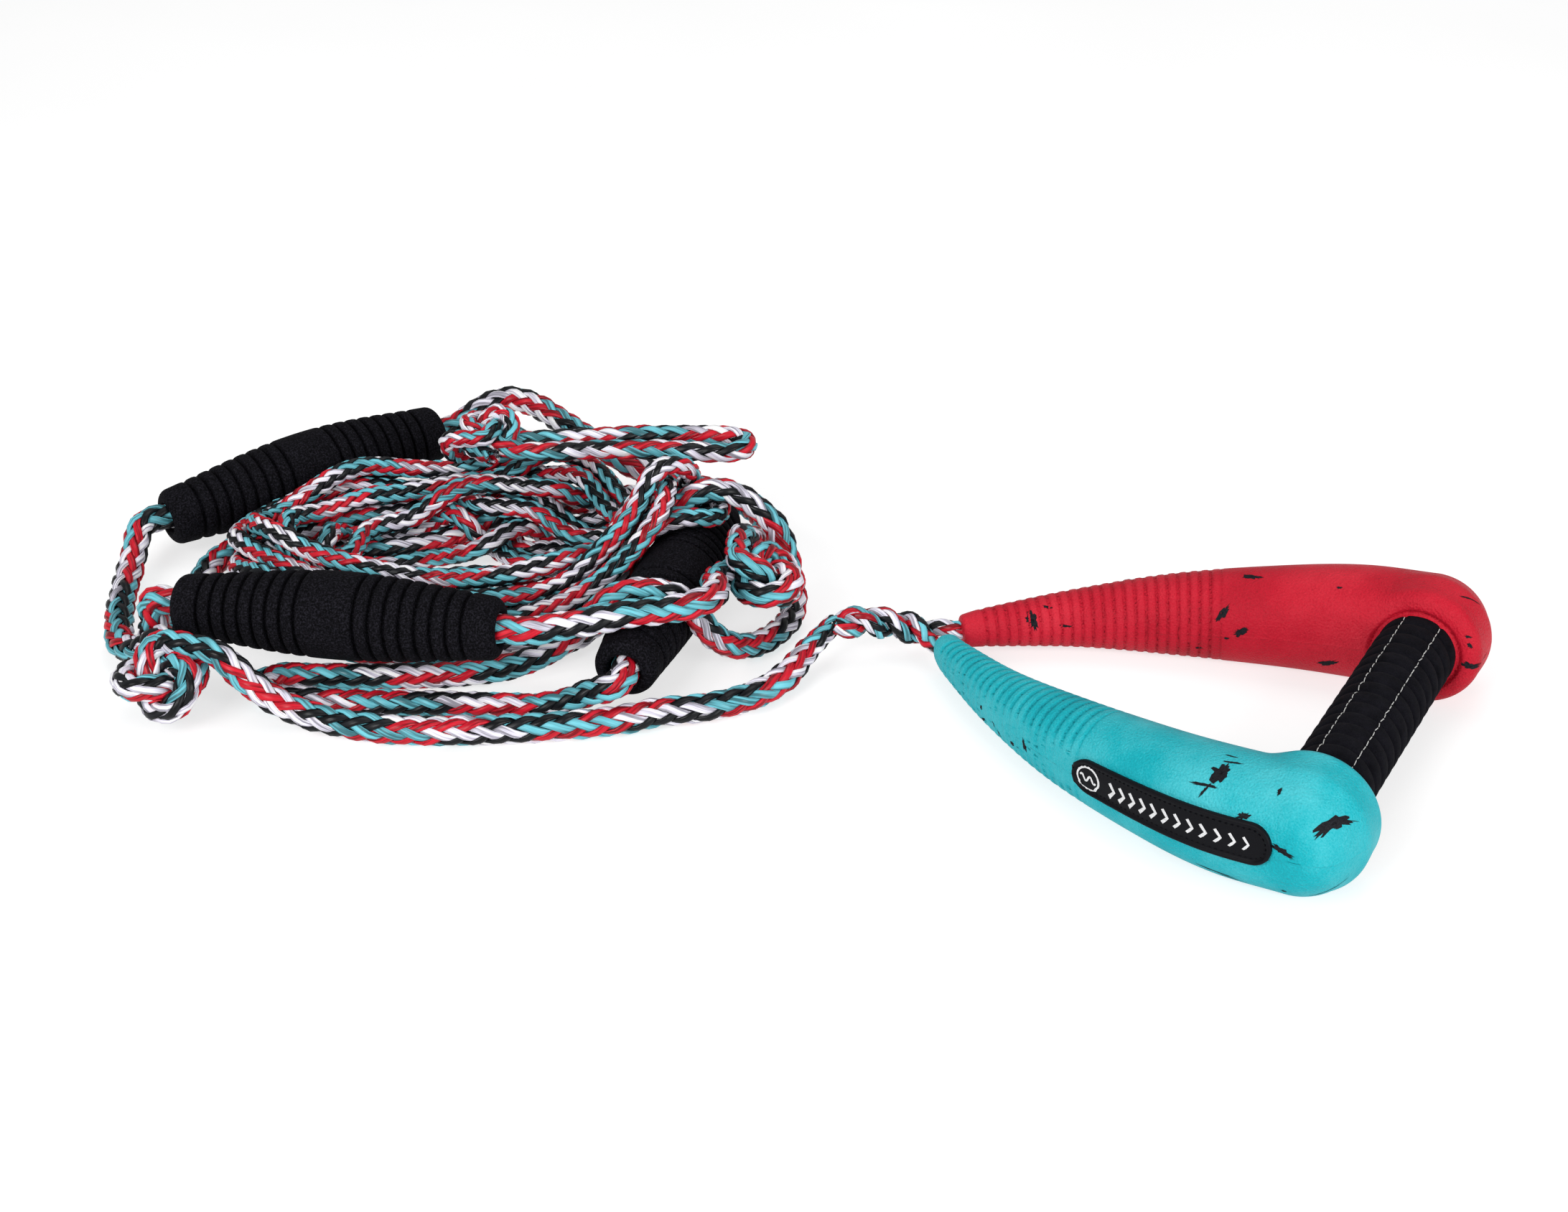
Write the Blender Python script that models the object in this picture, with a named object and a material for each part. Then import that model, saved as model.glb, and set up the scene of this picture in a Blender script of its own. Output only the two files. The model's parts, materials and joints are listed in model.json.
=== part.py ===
"""Tow rope handle: a coiled braided rope with three foam floats, and a triangular
two-arm foam handle with a wrapped grip bar.

Metres, +Z up.  The part is laid out round the yoke, where the rope's bridle meets the
two arms, and then moved so that its origin is on the floor under its middle.  Rope
waypoints are written in millimetres.
"""

import math

import bmesh
import bpy
import numpy as np
from mathutils import Matrix, Vector

MM = 0.001

# Rope sizes
THICK_R = 6.35 * MM
THIN_R = 4.7 * MM
KNOT_SQUEEZE = 0.80
ROPE_SIDES = 6
RING_STEP = 10.0 * MM
THIN_STEP = 11.0 * MM
COIL_X = -212
ROPE_GAP = 0.6 * MM
PAIR_MARGIN = 6.0 * MM
NEAR_STEPS = 3
SINK = 0.15 * MM
RING_RIPPLE = 0.05 * MM

# Foam floats
FLOAT_LENGTH = 140 * MM
FLOAT_MID_R = 18.6 * MM
FLOAT_END_R = 13.6 * MM
FLOAT_BORE_R = 7.8 * MM
FLOAT_EDGE = 4.0 * MM
FLOAT_SIDES = 16
FREE_ROPE = 13.0 * MM
LEFT_FLOAT = ((-349, 91, 20), (-236, 173, 24))
FRONT_FLOAT = ((-183, -37, 37), (-321, -8, 32))
RIGHT_FLOAT = ((-100, 92, 20), (-134, -43.5, 21))

# Handle
HEADING = math.radians(-29.0)
TILT = math.radians(4.3)
YOKE_Z = 10.5 * MM
BAR_U = 183 * MM
ARM_SPINE = ((4, 8.5, 7.0), (14, 17, 8.6), (45, 38, 12.4), (83, 57, 17.0),
             (125, 71, 20.2), (155, 78, 22.3), (183, 81, 25.5))
ARM_SIDES = 14
BRIDLE_R = 4.4 * MM
CHANNEL_R = 5.4 * MM
TUBE_OUTER_R = 12.0 * MM
TUBE_INNER_R = 10.0 * MM
TUBE_HALF = 76 * MM
CORE_OUTER_R = 14.6 * MM
CORE_HALF = 71 * MM
COVER_OUTER_R = 16.3 * MM
COVER_HALF = 70 * MM
FIT_GAP = 0.3 * MM
PLUG_LENGTH = 12 * MM
BADGE_START = 92 * MM
BADGE_END = 174 * MM
BADGE_HALF_HEIGHT = 8.4 * MM
BADGE_THICKNESS = 2.0 * MM
BADGE_LIFT = math.radians(8)

# The part's origin, as laid out round the yoke
ORIGIN = Vector((-70.9, 5.4, 0)) * MM

# Hinge points, and how far short of the yoke the splice stops (mm)
SPLICE_END = 6.4
LEAD_HINGE = Vector((-104, -50, 7)) * MM
SWING_HINGE = Vector((-50, -2, 16)) * MM
LOOP_HINGE = Vector((-184, 96, 54)) * MM


# ---------------------------------------------------------------- materials

def material(name, colour, roughness, metallic=0.0):
    mat = bpy.data.materials.new(name)
    mat.use_nodes = True
    shader = mat.node_tree.nodes["Principled BSDF"]
    shader.inputs["Base Color"].default_value = (*colour, 1.0)
    shader.inputs["Roughness"].default_value = roughness
    shader.inputs["Metallic"].default_value = metallic
    return mat


def make_materials():
    return {
        "thick_rope": material("thick_braid", (0.55, 0.30, 0.30), 0.45),
        "thin_rope": material("thin_braid", (0.45, 0.42, 0.45), 0.45),
        "loop_rope": material("loop_braid", (0.35, 0.50, 0.50), 0.45),
        "bridle_rope": material("bridle_braid", (0.30, 0.55, 0.55), 0.45),
        "float_foam": material("black_float_foam", (0.012, 0.012, 0.014), 0.9),
        "teal_foam": material("teal_foam", (0.03, 0.62, 0.60), 0.55),
        "red_foam": material("red_foam", (0.72, 0.025, 0.03), 0.55),
        "tube": material("anodised_tube", (0.75, 0.76, 0.78), 0.35, 1.0),
        "core": material("ribbed_core", (0.05, 0.05, 0.05), 0.8),
        "suede": material("black_suede", (0.015, 0.015, 0.018), 0.95),
        "nylon": material("nylon_plug", (0.85, 0.85, 0.82), 0.5),
        "badge": material("soft_badge", (0.02, 0.02, 0.022), 0.5),
    }


# ---------------------------------------------------------------- mesh helpers

def clear_scene():
    for obj in list(bpy.data.objects):
        bpy.data.objects.remove(obj, do_unlink=True)


def add_object(name, bm, mat, matrix=None, parent=None):
    """A mesh object from a bmesh, smooth, with its faces pointing out."""
    bmesh.ops.recalc_face_normals(bm, faces=bm.faces)
    mesh = bpy.data.meshes.new(name)
    bm.to_mesh(mesh)
    bm.free()
    mesh.shade_smooth()
    mesh.set_sharp_from_angle(angle=math.radians(40))
    mesh.materials.append(mat)
    obj = bpy.data.objects.new(name, mesh)
    bpy.context.scene.collection.objects.link(obj)
    obj.parent = parent
    if matrix is not None:
        obj.matrix_local = matrix
    return obj


def add_empty(name, location, rotation=None):
    empty = bpy.data.objects.new(name, None)
    empty.empty_display_size = 0.02
    bpy.context.scene.collection.objects.link(empty)
    empty.matrix_local = Matrix.Translation(location) @ (rotation or Matrix.Identity(4))
    return empty


def loft(rings, capped=True):
    """One closed skin through rings of equal vertex count."""
    bm = bmesh.new()
    layers = [[bm.verts.new(point) for point in ring] for ring in rings]
    count = len(layers[0])
    for low, high in zip(layers, layers[1:]):
        for i in range(count):
            j = (i + 1) % count
            bm.faces.new((low[i], low[j], high[j], high[i]))
    if capped:
        bm.faces.new(layers[0][::-1])
        bm.faces.new(layers[-1])
    return bm


def turned(profile, sides):
    """A ring-shaped solid: a closed (x, radius) outline turned about the X axis."""
    bm = bmesh.new()
    layers = []
    for x, radius in profile:
        angles = [2 * math.pi * i / sides for i in range(sides)]
        layers.append([bm.verts.new((x, radius * math.cos(a), radius * math.sin(a))) for a in angles])
    for low, high in zip(layers, layers[1:] + layers[:1]):
        for i in range(sides):
            j = (i + 1) % sides
            bm.faces.new((low[i], low[j], high[j], high[i]))
    return bm


def moving_frames(points):
    """Tangents, and a side vector carried along the line without twist."""
    tangents = np.gradient(points, axis=0)
    tangents /= np.linalg.norm(tangents, axis=1)[:, None]
    side = np.cross(tangents[0], (0.0, 0.0, 1.0))
    if np.linalg.norm(side) < 0.1:
        side = np.cross(tangents[0], (1.0, 0.0, 0.0))
    sides = []
    for tangent in tangents:
        side = side - tangent * side.dot(tangent)
        side /= np.linalg.norm(side)
        sides.append(side)
    sides = np.array(sides)
    return tangents, sides, np.cross(tangents, sides)


def tube_rings(points, radii, sides, twist=0.0, lobes=0.0):
    """Rings around a line.  Lobes squeezes each ring into a figure of eight."""
    _, side, up = moving_frames(points)
    rings = []
    for k, (point, radius) in enumerate(zip(points, radii)):
        ring = []
        for i in range(sides):
            a = 2 * math.pi * i / sides
            reach = radius * (1 + lobes * math.cos(2 * a))
            b = a + twist * k
            ring.append(point + reach * (math.cos(b) * side[k] + math.sin(b) * up[k]))
        rings.append(ring)
    return rings


def tube(name, points, radii, mat, sides=ROPE_SIDES, parent=None, matrix=None):
    """A rope: the tiny ripple keeps every ring, also on a straight stretch."""
    ripple = np.where(np.arange(len(points)) % 2 == 0, 0.0, RING_RIPPLE)
    bm = loft(tube_rings(points, np.asarray(radii) - ripple, sides))
    return add_object(name, bm, mat, matrix, parent)


def round_end(points, radii, centre_first):
    """Adds two small rings, so that an end is rounded about its last point."""
    if not centre_first:
        points, radii = points[::-1], radii[::-1]
    radius = radii[0]
    out = points[0] - points[1]
    out /= np.linalg.norm(out)
    caps = [points[0] + out * radius * s for s in (0.92, 0.6)]
    sizes = [radius * 0.36, radius * 0.79]
    points = np.vstack([caps, points])
    radii = np.concatenate([sizes, radii])
    if not centre_first:
        points, radii = points[::-1], radii[::-1]
    return points, radii


# ---------------------------------------------------------------- rope lines

def smooth_line(waypoints, step):
    """A Catmull-Rom curve through the waypoints, evenly spaced."""
    p = np.asarray(waypoints, float)
    p = np.vstack([2 * p[0] - p[1], p, 2 * p[-1] - p[-2]])
    dense = []
    for a, b, c, d in zip(p, p[1:], p[2:], p[3:]):
        for t in np.linspace(0, 1, 12, endpoint=False):
            dense.append(0.5 * (2 * b + (c - a) * t + (2 * a - 5 * b + 4 * c - d) * t * t
                                + (3 * b - a - 3 * c + d) * t ** 3))
    dense.append(p[-2])
    return respaced(np.array(dense), step)


def respaced(points, step):
    length = np.concatenate([[0], np.cumsum(np.linalg.norm(np.diff(points, axis=0), axis=1))])
    count = max(2, int(round(length[-1] / step)) + 1)
    at = np.linspace(0, length[-1], count)
    return np.stack([np.interp(at, length, points[:, i]) for i in range(3)], axis=1)


def overhand_knot(centre, travel, face, rope_r):
    """Points of an overhand knot: a trefoil opened at its outermost point.

    travel is the way the rope runs through the knot; face is the knot's flat side.
    """
    width = 2 * rope_r * KNOT_SQUEEZE
    big, small = 1.06 * width, 0.53 * width
    opened = 0.30
    t = np.linspace(opened, 2 * math.pi - opened, 26)
    reach = big + small * np.cos(3 * t)
    loop = np.stack([reach * np.cos(2 * t), reach * np.sin(2 * t), small * np.sin(3 * t)], axis=1)
    lead_in = np.array([[big + 1.25 * small, -1.5 * width, 0.5 * width]])
    lead_out = np.array([[big + 1.25 * small, 1.5 * width, -0.5 * width]])
    local = np.vstack([lead_in, loop, lead_out])
    local[:, 0] -= 0.5 * big
    y = np.array(travel, float)
    y /= np.linalg.norm(y)
    z = np.array(face, float)
    z -= y * z.dot(y)
    z /= np.linalg.norm(z)
    x = np.cross(y, z)
    return np.array(centre) * MM + local @ np.stack([x, y, z])


def through_float(ends):
    """The straight stretch of rope inside a float, and a little beyond both ends."""
    start, end = np.array(ends[0]) * MM, np.array(ends[1]) * MM
    way = (end - start) / np.linalg.norm(end - start)
    return np.array([start - way * FREE_ROPE, end + way * FREE_ROPE])


def ring_turn(centre, reach, start, sweep, height, rise=0.0, wobble=(0.0, 3, 0.0)):
    """Waypoints of one loose turn, clockwise from above, angles in degrees.

    rise lifts the turn on its right, where it lies over a float.
    """
    size, waves, phase = wobble
    steps = max(4, int(abs(sweep) / 24))
    out = []
    for i in range(steps):
        a = math.radians(start - sweep * i / steps)
        scale = 1 + size * math.sin(waves * a + phase)
        x = centre[0] + reach[0] * scale * math.cos(a)
        y = centre[1] + reach[1] * scale * math.sin(a)
        z = height[0] + (height[1] - height[0]) * i / steps + rise * max(0.0, math.cos(a)) ** 2
        out.append((x, y, z))
    return out


def coil_turn(turn):
    """One turn of the thin line, from its width, depth, front edge and height."""
    half_width, half_depth, front, height, rise, wobble = turn
    centre = (COIL_X + wobble[0], front + half_depth)
    return ring_turn(centre, (half_width, half_depth), 60, 360, (height, height + 4), rise,
                     wobble[1:])


class RopeLine:
    """Collects stretches of rope into one list of points with a radius each."""

    def __init__(self):
        self.points, self.radii, self.held, self.marks = [], [], [], {}
        self.step = RING_STEP

    def stretch(self, points, radius, held):
        for point in points:
            self.points.append(point)
            self.radii.append(radius)
            self.held.append(held)

    def free(self, waypoints_mm, radius, join_to=None, held=False):
        """A stretch from the last point through the waypoints, loose unless held."""
        ways = [np.array(w) * MM for w in waypoints_mm]
        if self.points:
            ways.insert(0, self.points[-1])
        if join_to is not None:
            ways.append(join_to)
        line = smooth_line(ways, self.step)
        begin = 1 if self.points else 0
        finish = -1 if join_to is not None else None
        self.stretch(line[begin:finish], radius, held)

    def knot(self, knot_points, radius, name):
        self.marks[name] = len(self.points)
        line = respaced(smooth_line(knot_points, 2 * MM), 6.0 * MM * radius / THICK_R)
        self.stretch(line, radius * KNOT_SQUEEZE, True)

    def straight(self, ends, name):
        self.marks[name] = len(self.points)
        line = respaced(through_float(ends), RING_STEP * 2)
        self.stretch(line, THICK_R, True)


def lay_rope():
    """The whole coil from the lead's hinge to the loop's knot, as first laid."""
    rope = RopeLine()
    hinge = np.array(LEAD_HINGE)
    first = hinge + np.array((-7.2, -1.0, 0.0)) * MM
    rope.stretch([first], THICK_R, True)
    left_knot = overhand_knot((-318, -42, 22), (-0.85, 0.45, 0.15), (0.1, -0.5, 0.85), THICK_R)
    rope.free([(-130, -58, 7), (-154, -61, 7), (-182, -67, 7), (-210, -72, 7), (-239, -71, 7),
               (-262, -66, 8), (-280, -58, 11)], THICK_R, left_knot[0])
    rope.knot(left_knot, THICK_R, "left_knot")
    rope.free([(-354, -8, 14), (-362, 22, 9), (-366, 55, 9), (-364, 74, 13)], THICK_R,
              through_float(LEFT_FLOAT)[0])
    rope.straight(LEFT_FLOAT, "left_float")
    right_knot = overhand_knot((-82, 14, 36), (-0.22, -0.95, 0.15), (0.2, -0.45, 0.85), THICK_R)
    rope.free([(-222, 184, 27), (-205, 190, 33), (-190, 184, 33), (-172, 168, 29),
               (-156, 154, 25), (-143, 148, 19), (-128, 144, 14), (-108, 138, 11),
               (-90, 126, 11), (-79, 104, 14), (-77, 84, 18), (-82, 62, 24)], THICK_R, right_knot[0],
              held=True)
    rope.knot(right_knot, THICK_R, "right_knot")
    rope.free([(-100, -22, 40), (-114, -34, 44), (-132, -40, 46), (-152, -42, 45)], THICK_R,
              through_float(FRONT_FLOAT)[0])
    rope.straight(FRONT_FLOAT, "front_float")
    rope.free([(-340, -8, 26), (-347, -6, 17), (-344, 6, 9), (-332, 20, 8), (-327, 40, 8)]
              + ring_turn((-215, 66), (112, 82), 174, 110, (8, 8))
              + [(-140, 128, 9), (-116, 120, 14)], THICK_R, through_float(RIGHT_FLOAT)[0])
    rope.straight(RIGHT_FLOAT, "right_float")
    rope.free([(-144, -58, 21), (-156, -50, 23), (-168, -44, 20), (-190, -46, 12), (-214, -45, 8),
               (-246, -44, 7), (-274, -42, 7), (-290, -36, 7), (-292, -27, 7), (-280, -22, 7),
               (-250, -24, 7), (-222, -26, 7), (-200, -22, 9), (-178, -16, 18), (-154, -16, 36),
               (-130, -20, 45), (-110, -24, 32), (-92, -14, 16), (-72, 4, 8), (-58, 24, 8),
               (-58, 46, 12), (-68, 62, 30), (-86, 66, 46), (-106, 60, 48), (-126, 42, 42)]
              + ring_turn((-208, 50), (92, 54), -14, 300, (24, 16)), THICK_R * 0.92)
    rope.marks["thin_start"] = len(rope.points)
    turns = (
        (110, 62, 6, 10, 36, (6, 0.03, 3, 0.4)),
        (90, 54, 10, 13, 0, (-6, 0.05, 2, 1.2)),
        (76, 44, 16, 16, 0, (-4, 0.06, 3, 2.0)),
        (60, 32, 22, 19, 0, (2, 0.06, 2, 0.2)),
        (108, 58, 8, 22, 27, (4, 0.04, 3, 3.1)),
        (84, 48, 14, 26, 0, (-8, 0.06, 2, 2.4)),
        (70, 40, 20, 30, 0, (4, 0.06, 3, 1.0)),
        (110, 56, 12, 34, 18, (4, 0.04, 2, 0.7)),
        (82, 46, 20, 38, 0, (-4, 0.05, 3, 2.6)),
        (94, 54, 16, 42, 8, (2, 0.06, 2, 1.8)),
    )
    ways = []
    for turn in turns:
        ways += coil_turn(turn)
    ways += [(-186, 124, 66), (-208, 124, 64)]
    loop_knot = overhand_knot((-204, 98, 58), (0.8, -0.5, 0.1), (0.1, -0.4, 0.9), THIN_R)
    rope.step = THIN_STEP
    rope.free(ways, THIN_R, loop_knot[0])
    rope.knot(loop_knot, THIN_R, "loop_knot")
    return rope


def boat_loop_line():
    """The loop at the rope's end: out along one strand, round the tip, and back."""
    h = np.array(LOOP_HINGE) / MM
    ways = [h + (1.0, 6.0, 0), h + (20, 5.6, 1), h + (42, 6.4, 2), h + (66, 9.2, 1),
            h + (88, 11.0, 0), h + (98, 8.0, -1), h + (100.5, 2.5, -1), h + (96, -3.0, -1),
            h + (84, -5.0, -1), h + (64, -4.2, 0), h + (42, -5.6, 1), h + (20, -5.8, 0.5),
            h + (1.0, -6.0, 0)]
    return smooth_line(np.array(ways) * MM, RING_STEP)


# ------------------------------------------------- settling the loose turns

def float_shape(along):
    """Radius of a float at a distance from its middle."""
    half = FLOAT_LENGTH / 2
    bulge = np.cos(np.clip(along / half, -1, 1) * math.pi / 2) ** 1.3
    return FLOAT_END_R + (FLOAT_MID_R - FLOAT_END_R) * bulge


def close_pairs(points, radii, near_steps):
    """Index pairs, over points and midpoints, that may touch in the next rounds."""
    count = (len(points) + 1) // 2
    order = np.concatenate([np.arange(count), np.arange(count - 1) + 0.5])
    reach = radii[:, None] + radii[None, :] + PAIR_MARGIN
    flat = (points ** 2).sum(axis=1)
    square = flat[:, None] + flat[None, :] - 2 * points @ points.T
    close = (square < reach ** 2) & (reach > 0)
    close &= np.abs(order[:, None] - order[None, :]) >= near_steps
    return np.nonzero(np.triu(close, 1))


def with_middles(points, radii, breaks):
    """The points and the middles between neighbours; a break's middle never touches."""
    middles = (points[:-1] + points[1:]) / 2
    widths = (radii[:-1] + radii[1:]) / 2
    widths[breaks] = -1.0
    return np.vstack([points, middles]), np.concatenate([radii, widths])


def spread_pairs(points, radii, movable, breaks, pairs):
    """Moves apart every two places that are closer than their ropes' widths."""
    fine, widths = with_middles(points, radii, breaks)
    first, second = pairs
    away = fine[first] - fine[second]
    gap = np.linalg.norm(away, axis=1) + 1e-9
    short = np.clip(widths[first] + widths[second] + ROPE_GAP - gap, 0, None)
    loose = np.concatenate([movable, np.maximum(movable[:-1], movable[1:])])
    share = 1 / np.maximum(loose[first] + loose[second], 1)
    push = away / gap[:, None] * (short * share)[:, None]
    total = np.zeros((len(fine), 4))
    hit = (short > 0).astype(float)[:, None]
    np.add.at(total, first, np.hstack([push, hit]))
    np.add.at(total, second, np.hstack([-push, hit]))
    count = len(points)
    out = total[:count].copy()
    out[:-1] += total[count:]
    out[1:] += total[count:]
    return out[:, :3] / np.sqrt(np.maximum(out[:, 3], 1))[:, None]


def clear_of_float(points, radii, ends, own):
    """Moves rope points out of a float, except the rope in its own bore."""
    start, end = np.array(ends[0]) * MM, np.array(ends[1]) * MM
    way = (end - start) / np.linalg.norm(end - start)
    middle = (start + end) / 2
    along = (points - middle) @ way
    foot = middle + np.clip(along, -FLOAT_LENGTH / 2, FLOAT_LENGTH / 2)[:, None] * way
    out = points - foot
    gap = np.linalg.norm(out, axis=1) + 1e-9
    beyond = np.abs(along) > FLOAT_LENGTH / 2
    shape = np.where(beyond, FREE_ROPE, float_shape(along))
    short = np.clip(shape + radii + ROPE_GAP - gap, 0, None)
    short[own] = 0
    return out / gap[:, None] * short[:, None]


def keep_lengths(points, lengths, movable):
    """Holds each piece of rope between two neighbouring points at its length."""
    for parity in (0, 1):
        i = np.arange(parity, len(points) - 1, 2)
        step = points[i + 1] - points[i]
        now = np.linalg.norm(step, axis=1)
        share = np.maximum(movable[i] + movable[i + 1], 1)
        fix = step * ((now - lengths[i]) / now / share)[:, None]
        points[i] += fix * movable[i][:, None]
        points[i + 1] -= fix * movable[i + 1][:, None]


def settle(points, radii, held, blocks, breaks, rounds=320):
    """Rests the loose turns on the floor, the floats and one another."""
    movable = np.where(held, 0.0, 1.0)
    lengths = np.linalg.norm(np.diff(points, axis=0), axis=1)
    for turn in range(rounds):
        if turn % 8 == 0:
            pairs = close_pairs(*with_middles(points, radii, breaks), NEAR_STEPS)
        if turn < rounds * 0.5:
            points[:, 2] -= SINK * movable
        bend = np.zeros_like(points)
        bend[1:-1] = (points[:-2] + points[2:]) / 2 - points[1:-1]
        points += 0.10 * bend * movable[:, None]
        keep_lengths(points, lengths, movable)
        points += spread_pairs(points, radii, movable, breaks, pairs) * movable[:, None]
        for ends, own in blocks:
            points += clear_of_float(points, radii, ends, own) * movable[:, None]
        floor = radii + 0.3 * MM
        points[:, 2] = np.where(held, points[:, 2], np.maximum(points[:, 2], floor))
    return points


def own_stretch(rope, name, margin=4):
    """The points inside and just beside a float, which its bore holds."""
    start = rope.marks[name]
    count = len(respaced(through_float(LEFT_FLOAT), RING_STEP * 2))
    inside = np.zeros(len(rope.points), bool)
    inside[start - margin:start + count + margin] = True
    return inside


def build_ropes(mats):
    rope = lay_rope()
    loop = boat_loop_line()
    line = np.array(rope.points)
    blocks = [
        (LEFT_FLOAT, own_stretch(rope, "left_float")),
        (FRONT_FLOAT, own_stretch(rope, "front_float")),
        (RIGHT_FLOAT, own_stretch(rope, "right_float")),
    ]
    lead_points, lead_radii = lead_line()
    extra = np.vstack([loop, lead_points])
    points = np.vstack([line, extra])
    radii = np.concatenate([rope.radii, np.full(len(loop), THIN_R), lead_radii])
    held = np.concatenate([rope.held, np.ones(len(extra), bool)])
    blocks = [(ends, np.concatenate([own, np.ones(len(extra), bool)])) for ends, own in blocks]
    breaks = [len(line) - 1, len(line) + len(loop) - 1]
    points = settle(points, radii, held, blocks, breaks)[:len(line)]
    radii = radii[:len(line)]
    split = rope.marks["thin_start"]
    tube("float_line", points[:split], radii[:split], mats["thick_rope"])
    tube("main_line", *main_line_start(points[split:], radii[split:]), mats["thin_rope"])
    hinge = add_empty("loop_lift_axis", LOOP_HINGE)
    tube("boat_loop", loop - np.array(LOOP_HINGE), np.full(len(loop), THIN_R - 0.2 * MM),
         mats["loop_rope"], parent=hinge)
    return points, radii, rope


def main_line_start(points, radii):
    """Leaves a hair's gap where the thin line is spliced on to the thick one."""
    way = points[1] - points[0]
    points = points.copy()
    points[0] = points[0] - way * 0.7
    return points, radii


# ---------------------------------------------------------------- floats

def build_float(name, ends, mat):
    """A foam float, bulged in the middle, with a bore along its own X axis."""
    half = FLOAT_LENGTH / 2
    outline = [(-half, FLOAT_BORE_R), (-half, FLOAT_END_R - FLOAT_EDGE)]
    for x in np.linspace(-half + FLOAT_EDGE, half - FLOAT_EDGE, 9):
        outline.append((x, float(float_shape(np.array(x)))))
    outline += [(half, FLOAT_END_R - FLOAT_EDGE), (half, FLOAT_BORE_R)]
    start, end = Vector(ends[0]) * MM, Vector(ends[1]) * MM
    turn = (end - start).to_track_quat("X", "Z").to_matrix().to_4x4()
    matrix = Matrix.Translation((start + end) / 2) @ turn
    return add_object(name, turned(outline, FLOAT_SIDES), mat, matrix)


# ---------------------------------------------------------------- lead and splice

def lead_line():
    """The free rope from the coil to the bridle, rounded at both hinges."""
    hinge, swing = np.array(LEAD_HINGE) / MM, np.array(SWING_HINGE) / MM
    ways = [hinge, (-88, -44, 7), (-72, -33, 8), (-62, -18, 11), swing - (5.6, 6.4, 1.4)]
    points = smooth_line(np.array(ways) * MM, RING_STEP)
    radii = np.full(len(points), THICK_R)
    radii[-1] = 5.2 * MM
    radii[-2] = 6.0 * MM
    return points, radii


def build_lead(mats):
    points, radii = round_end(*lead_line(), centre_first=True)
    hinge = add_empty("lead_swing_axis", LEAD_HINGE)
    tube("lead_rope", points - np.array(LEAD_HINGE), radii, mats["thick_rope"], parent=hinge)


def build_splice(mats):
    """The two bridle legs laid round each other, from the lead to the yoke."""
    hinge = np.array(SWING_HINGE) / MM
    to_yoke = (-SPLICE_END * math.cos(HEADING), -SPLICE_END * math.sin(HEADING), YOKE_Z / MM)
    ways = [hinge, (-40, -1, 19), (-28, 3, 16.5), (-16, 5.5, 12.5), to_yoke]
    points = smooth_line(np.array(ways) * MM, 3.6 * MM)
    radii = np.full(len(points), 6.2 * MM)
    radii[0] = 5.0 * MM
    points, radii = round_end(points, radii, centre_first=True)
    rings = tube_rings(points, radii, 10, twist=0.42, lobes=0.24)
    rings = [[p - np.array(SWING_HINGE) for p in ring] for ring in rings]
    empty = add_empty("handle_swing_axis", SWING_HINGE)
    return add_object("bridle_splice", loft(rings), mats["bridle_rope"], None, empty)


# ---------------------------------------------------------------- handle

def arm_centre(t):
    """Point and radius of an arm's spine, t from 0 at the tip to 1 at the elbow."""
    table = np.array(ARM_SPINE) * MM
    x = t * (len(table) - 1)
    i = min(int(x), len(table) - 2)
    padded = np.vstack([2 * table[0] - table[1], table, 2 * table[-1] - table[-2]])
    a, b, c, d = padded[i:i + 4]
    f = x - i
    out = 0.5 * (2 * b + (c - a) * f + (2 * a - 5 * b + 4 * c - d) * f * f
                 + (3 * b - a - 3 * c + d) * f ** 3)
    return out[:2], out[2]


def arm_ring(centre, way, radius, side_sign, sides):
    """One round section of an arm, square to its spine."""
    ring = []
    for i in range(sides):
        a = 2 * math.pi * i / sides - math.pi / 2
        across = radius * math.cos(a)
        u = centre[0] - way[1] * across
        v = centre[1] + way[0] * across
        ring.append((u, v * side_sign, radius * math.sin(a)))
    return ring


def arm_body(side_sign):
    """The bowed foam arm with its ball-shaped elbow."""
    rings = []
    stations = np.linspace(0, 1, 11)
    for t in stations:
        centre, radius = arm_centre(t)
        ahead, _ = arm_centre(min(1, t + 0.01))
        behind, _ = arm_centre(max(0, t - 0.01))
        way = (ahead - behind) / np.linalg.norm(ahead - behind)
        rings.append(arm_ring(centre, way, radius, side_sign, ARM_SIDES))
    centre, radius = arm_centre(1.0)
    for a in (22.5, 45, 67.5, 84):
        turn = math.radians(a)
        ahead = centre + way * radius * math.sin(turn)
        rings.append(arm_ring(ahead, way, radius * math.cos(turn), side_sign, ARM_SIDES))
    return loft(rings)


def collar_body(side_sign):
    """The rounded collar that holds the end of the grip bar."""
    profile = ((92, 14), (86, 21.5), (78, 24.2), (70, 24.4), (66.5, 23.6), (64.6, 21.8), (64, 19.4))
    sides = 16
    rings = []
    for v, radius in profile:
        ring = []
        for i in range(sides):
            a = 2 * math.pi * i / sides
            ring.append((BAR_U + radius * MM * math.cos(a), v * MM * side_sign,
                         radius * MM * math.sin(a)))
        rings.append(ring)
    return loft(rings)


def bridle_path(side_sign):
    """The rope's way from the yoke through one arm to the middle of the bar."""
    ways = [(0, 4.9), (5, 9.2), (14, 17), (45, 38), (83, 57), (118, 69), (146, 78),
            (163, 83.5), (174, 85.0), (181, 82.5), (183, 76), (183, 60), (183, 0)]
    return np.array([(u, v * side_sign, 0.0) for u, v in ways]) * MM


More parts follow.
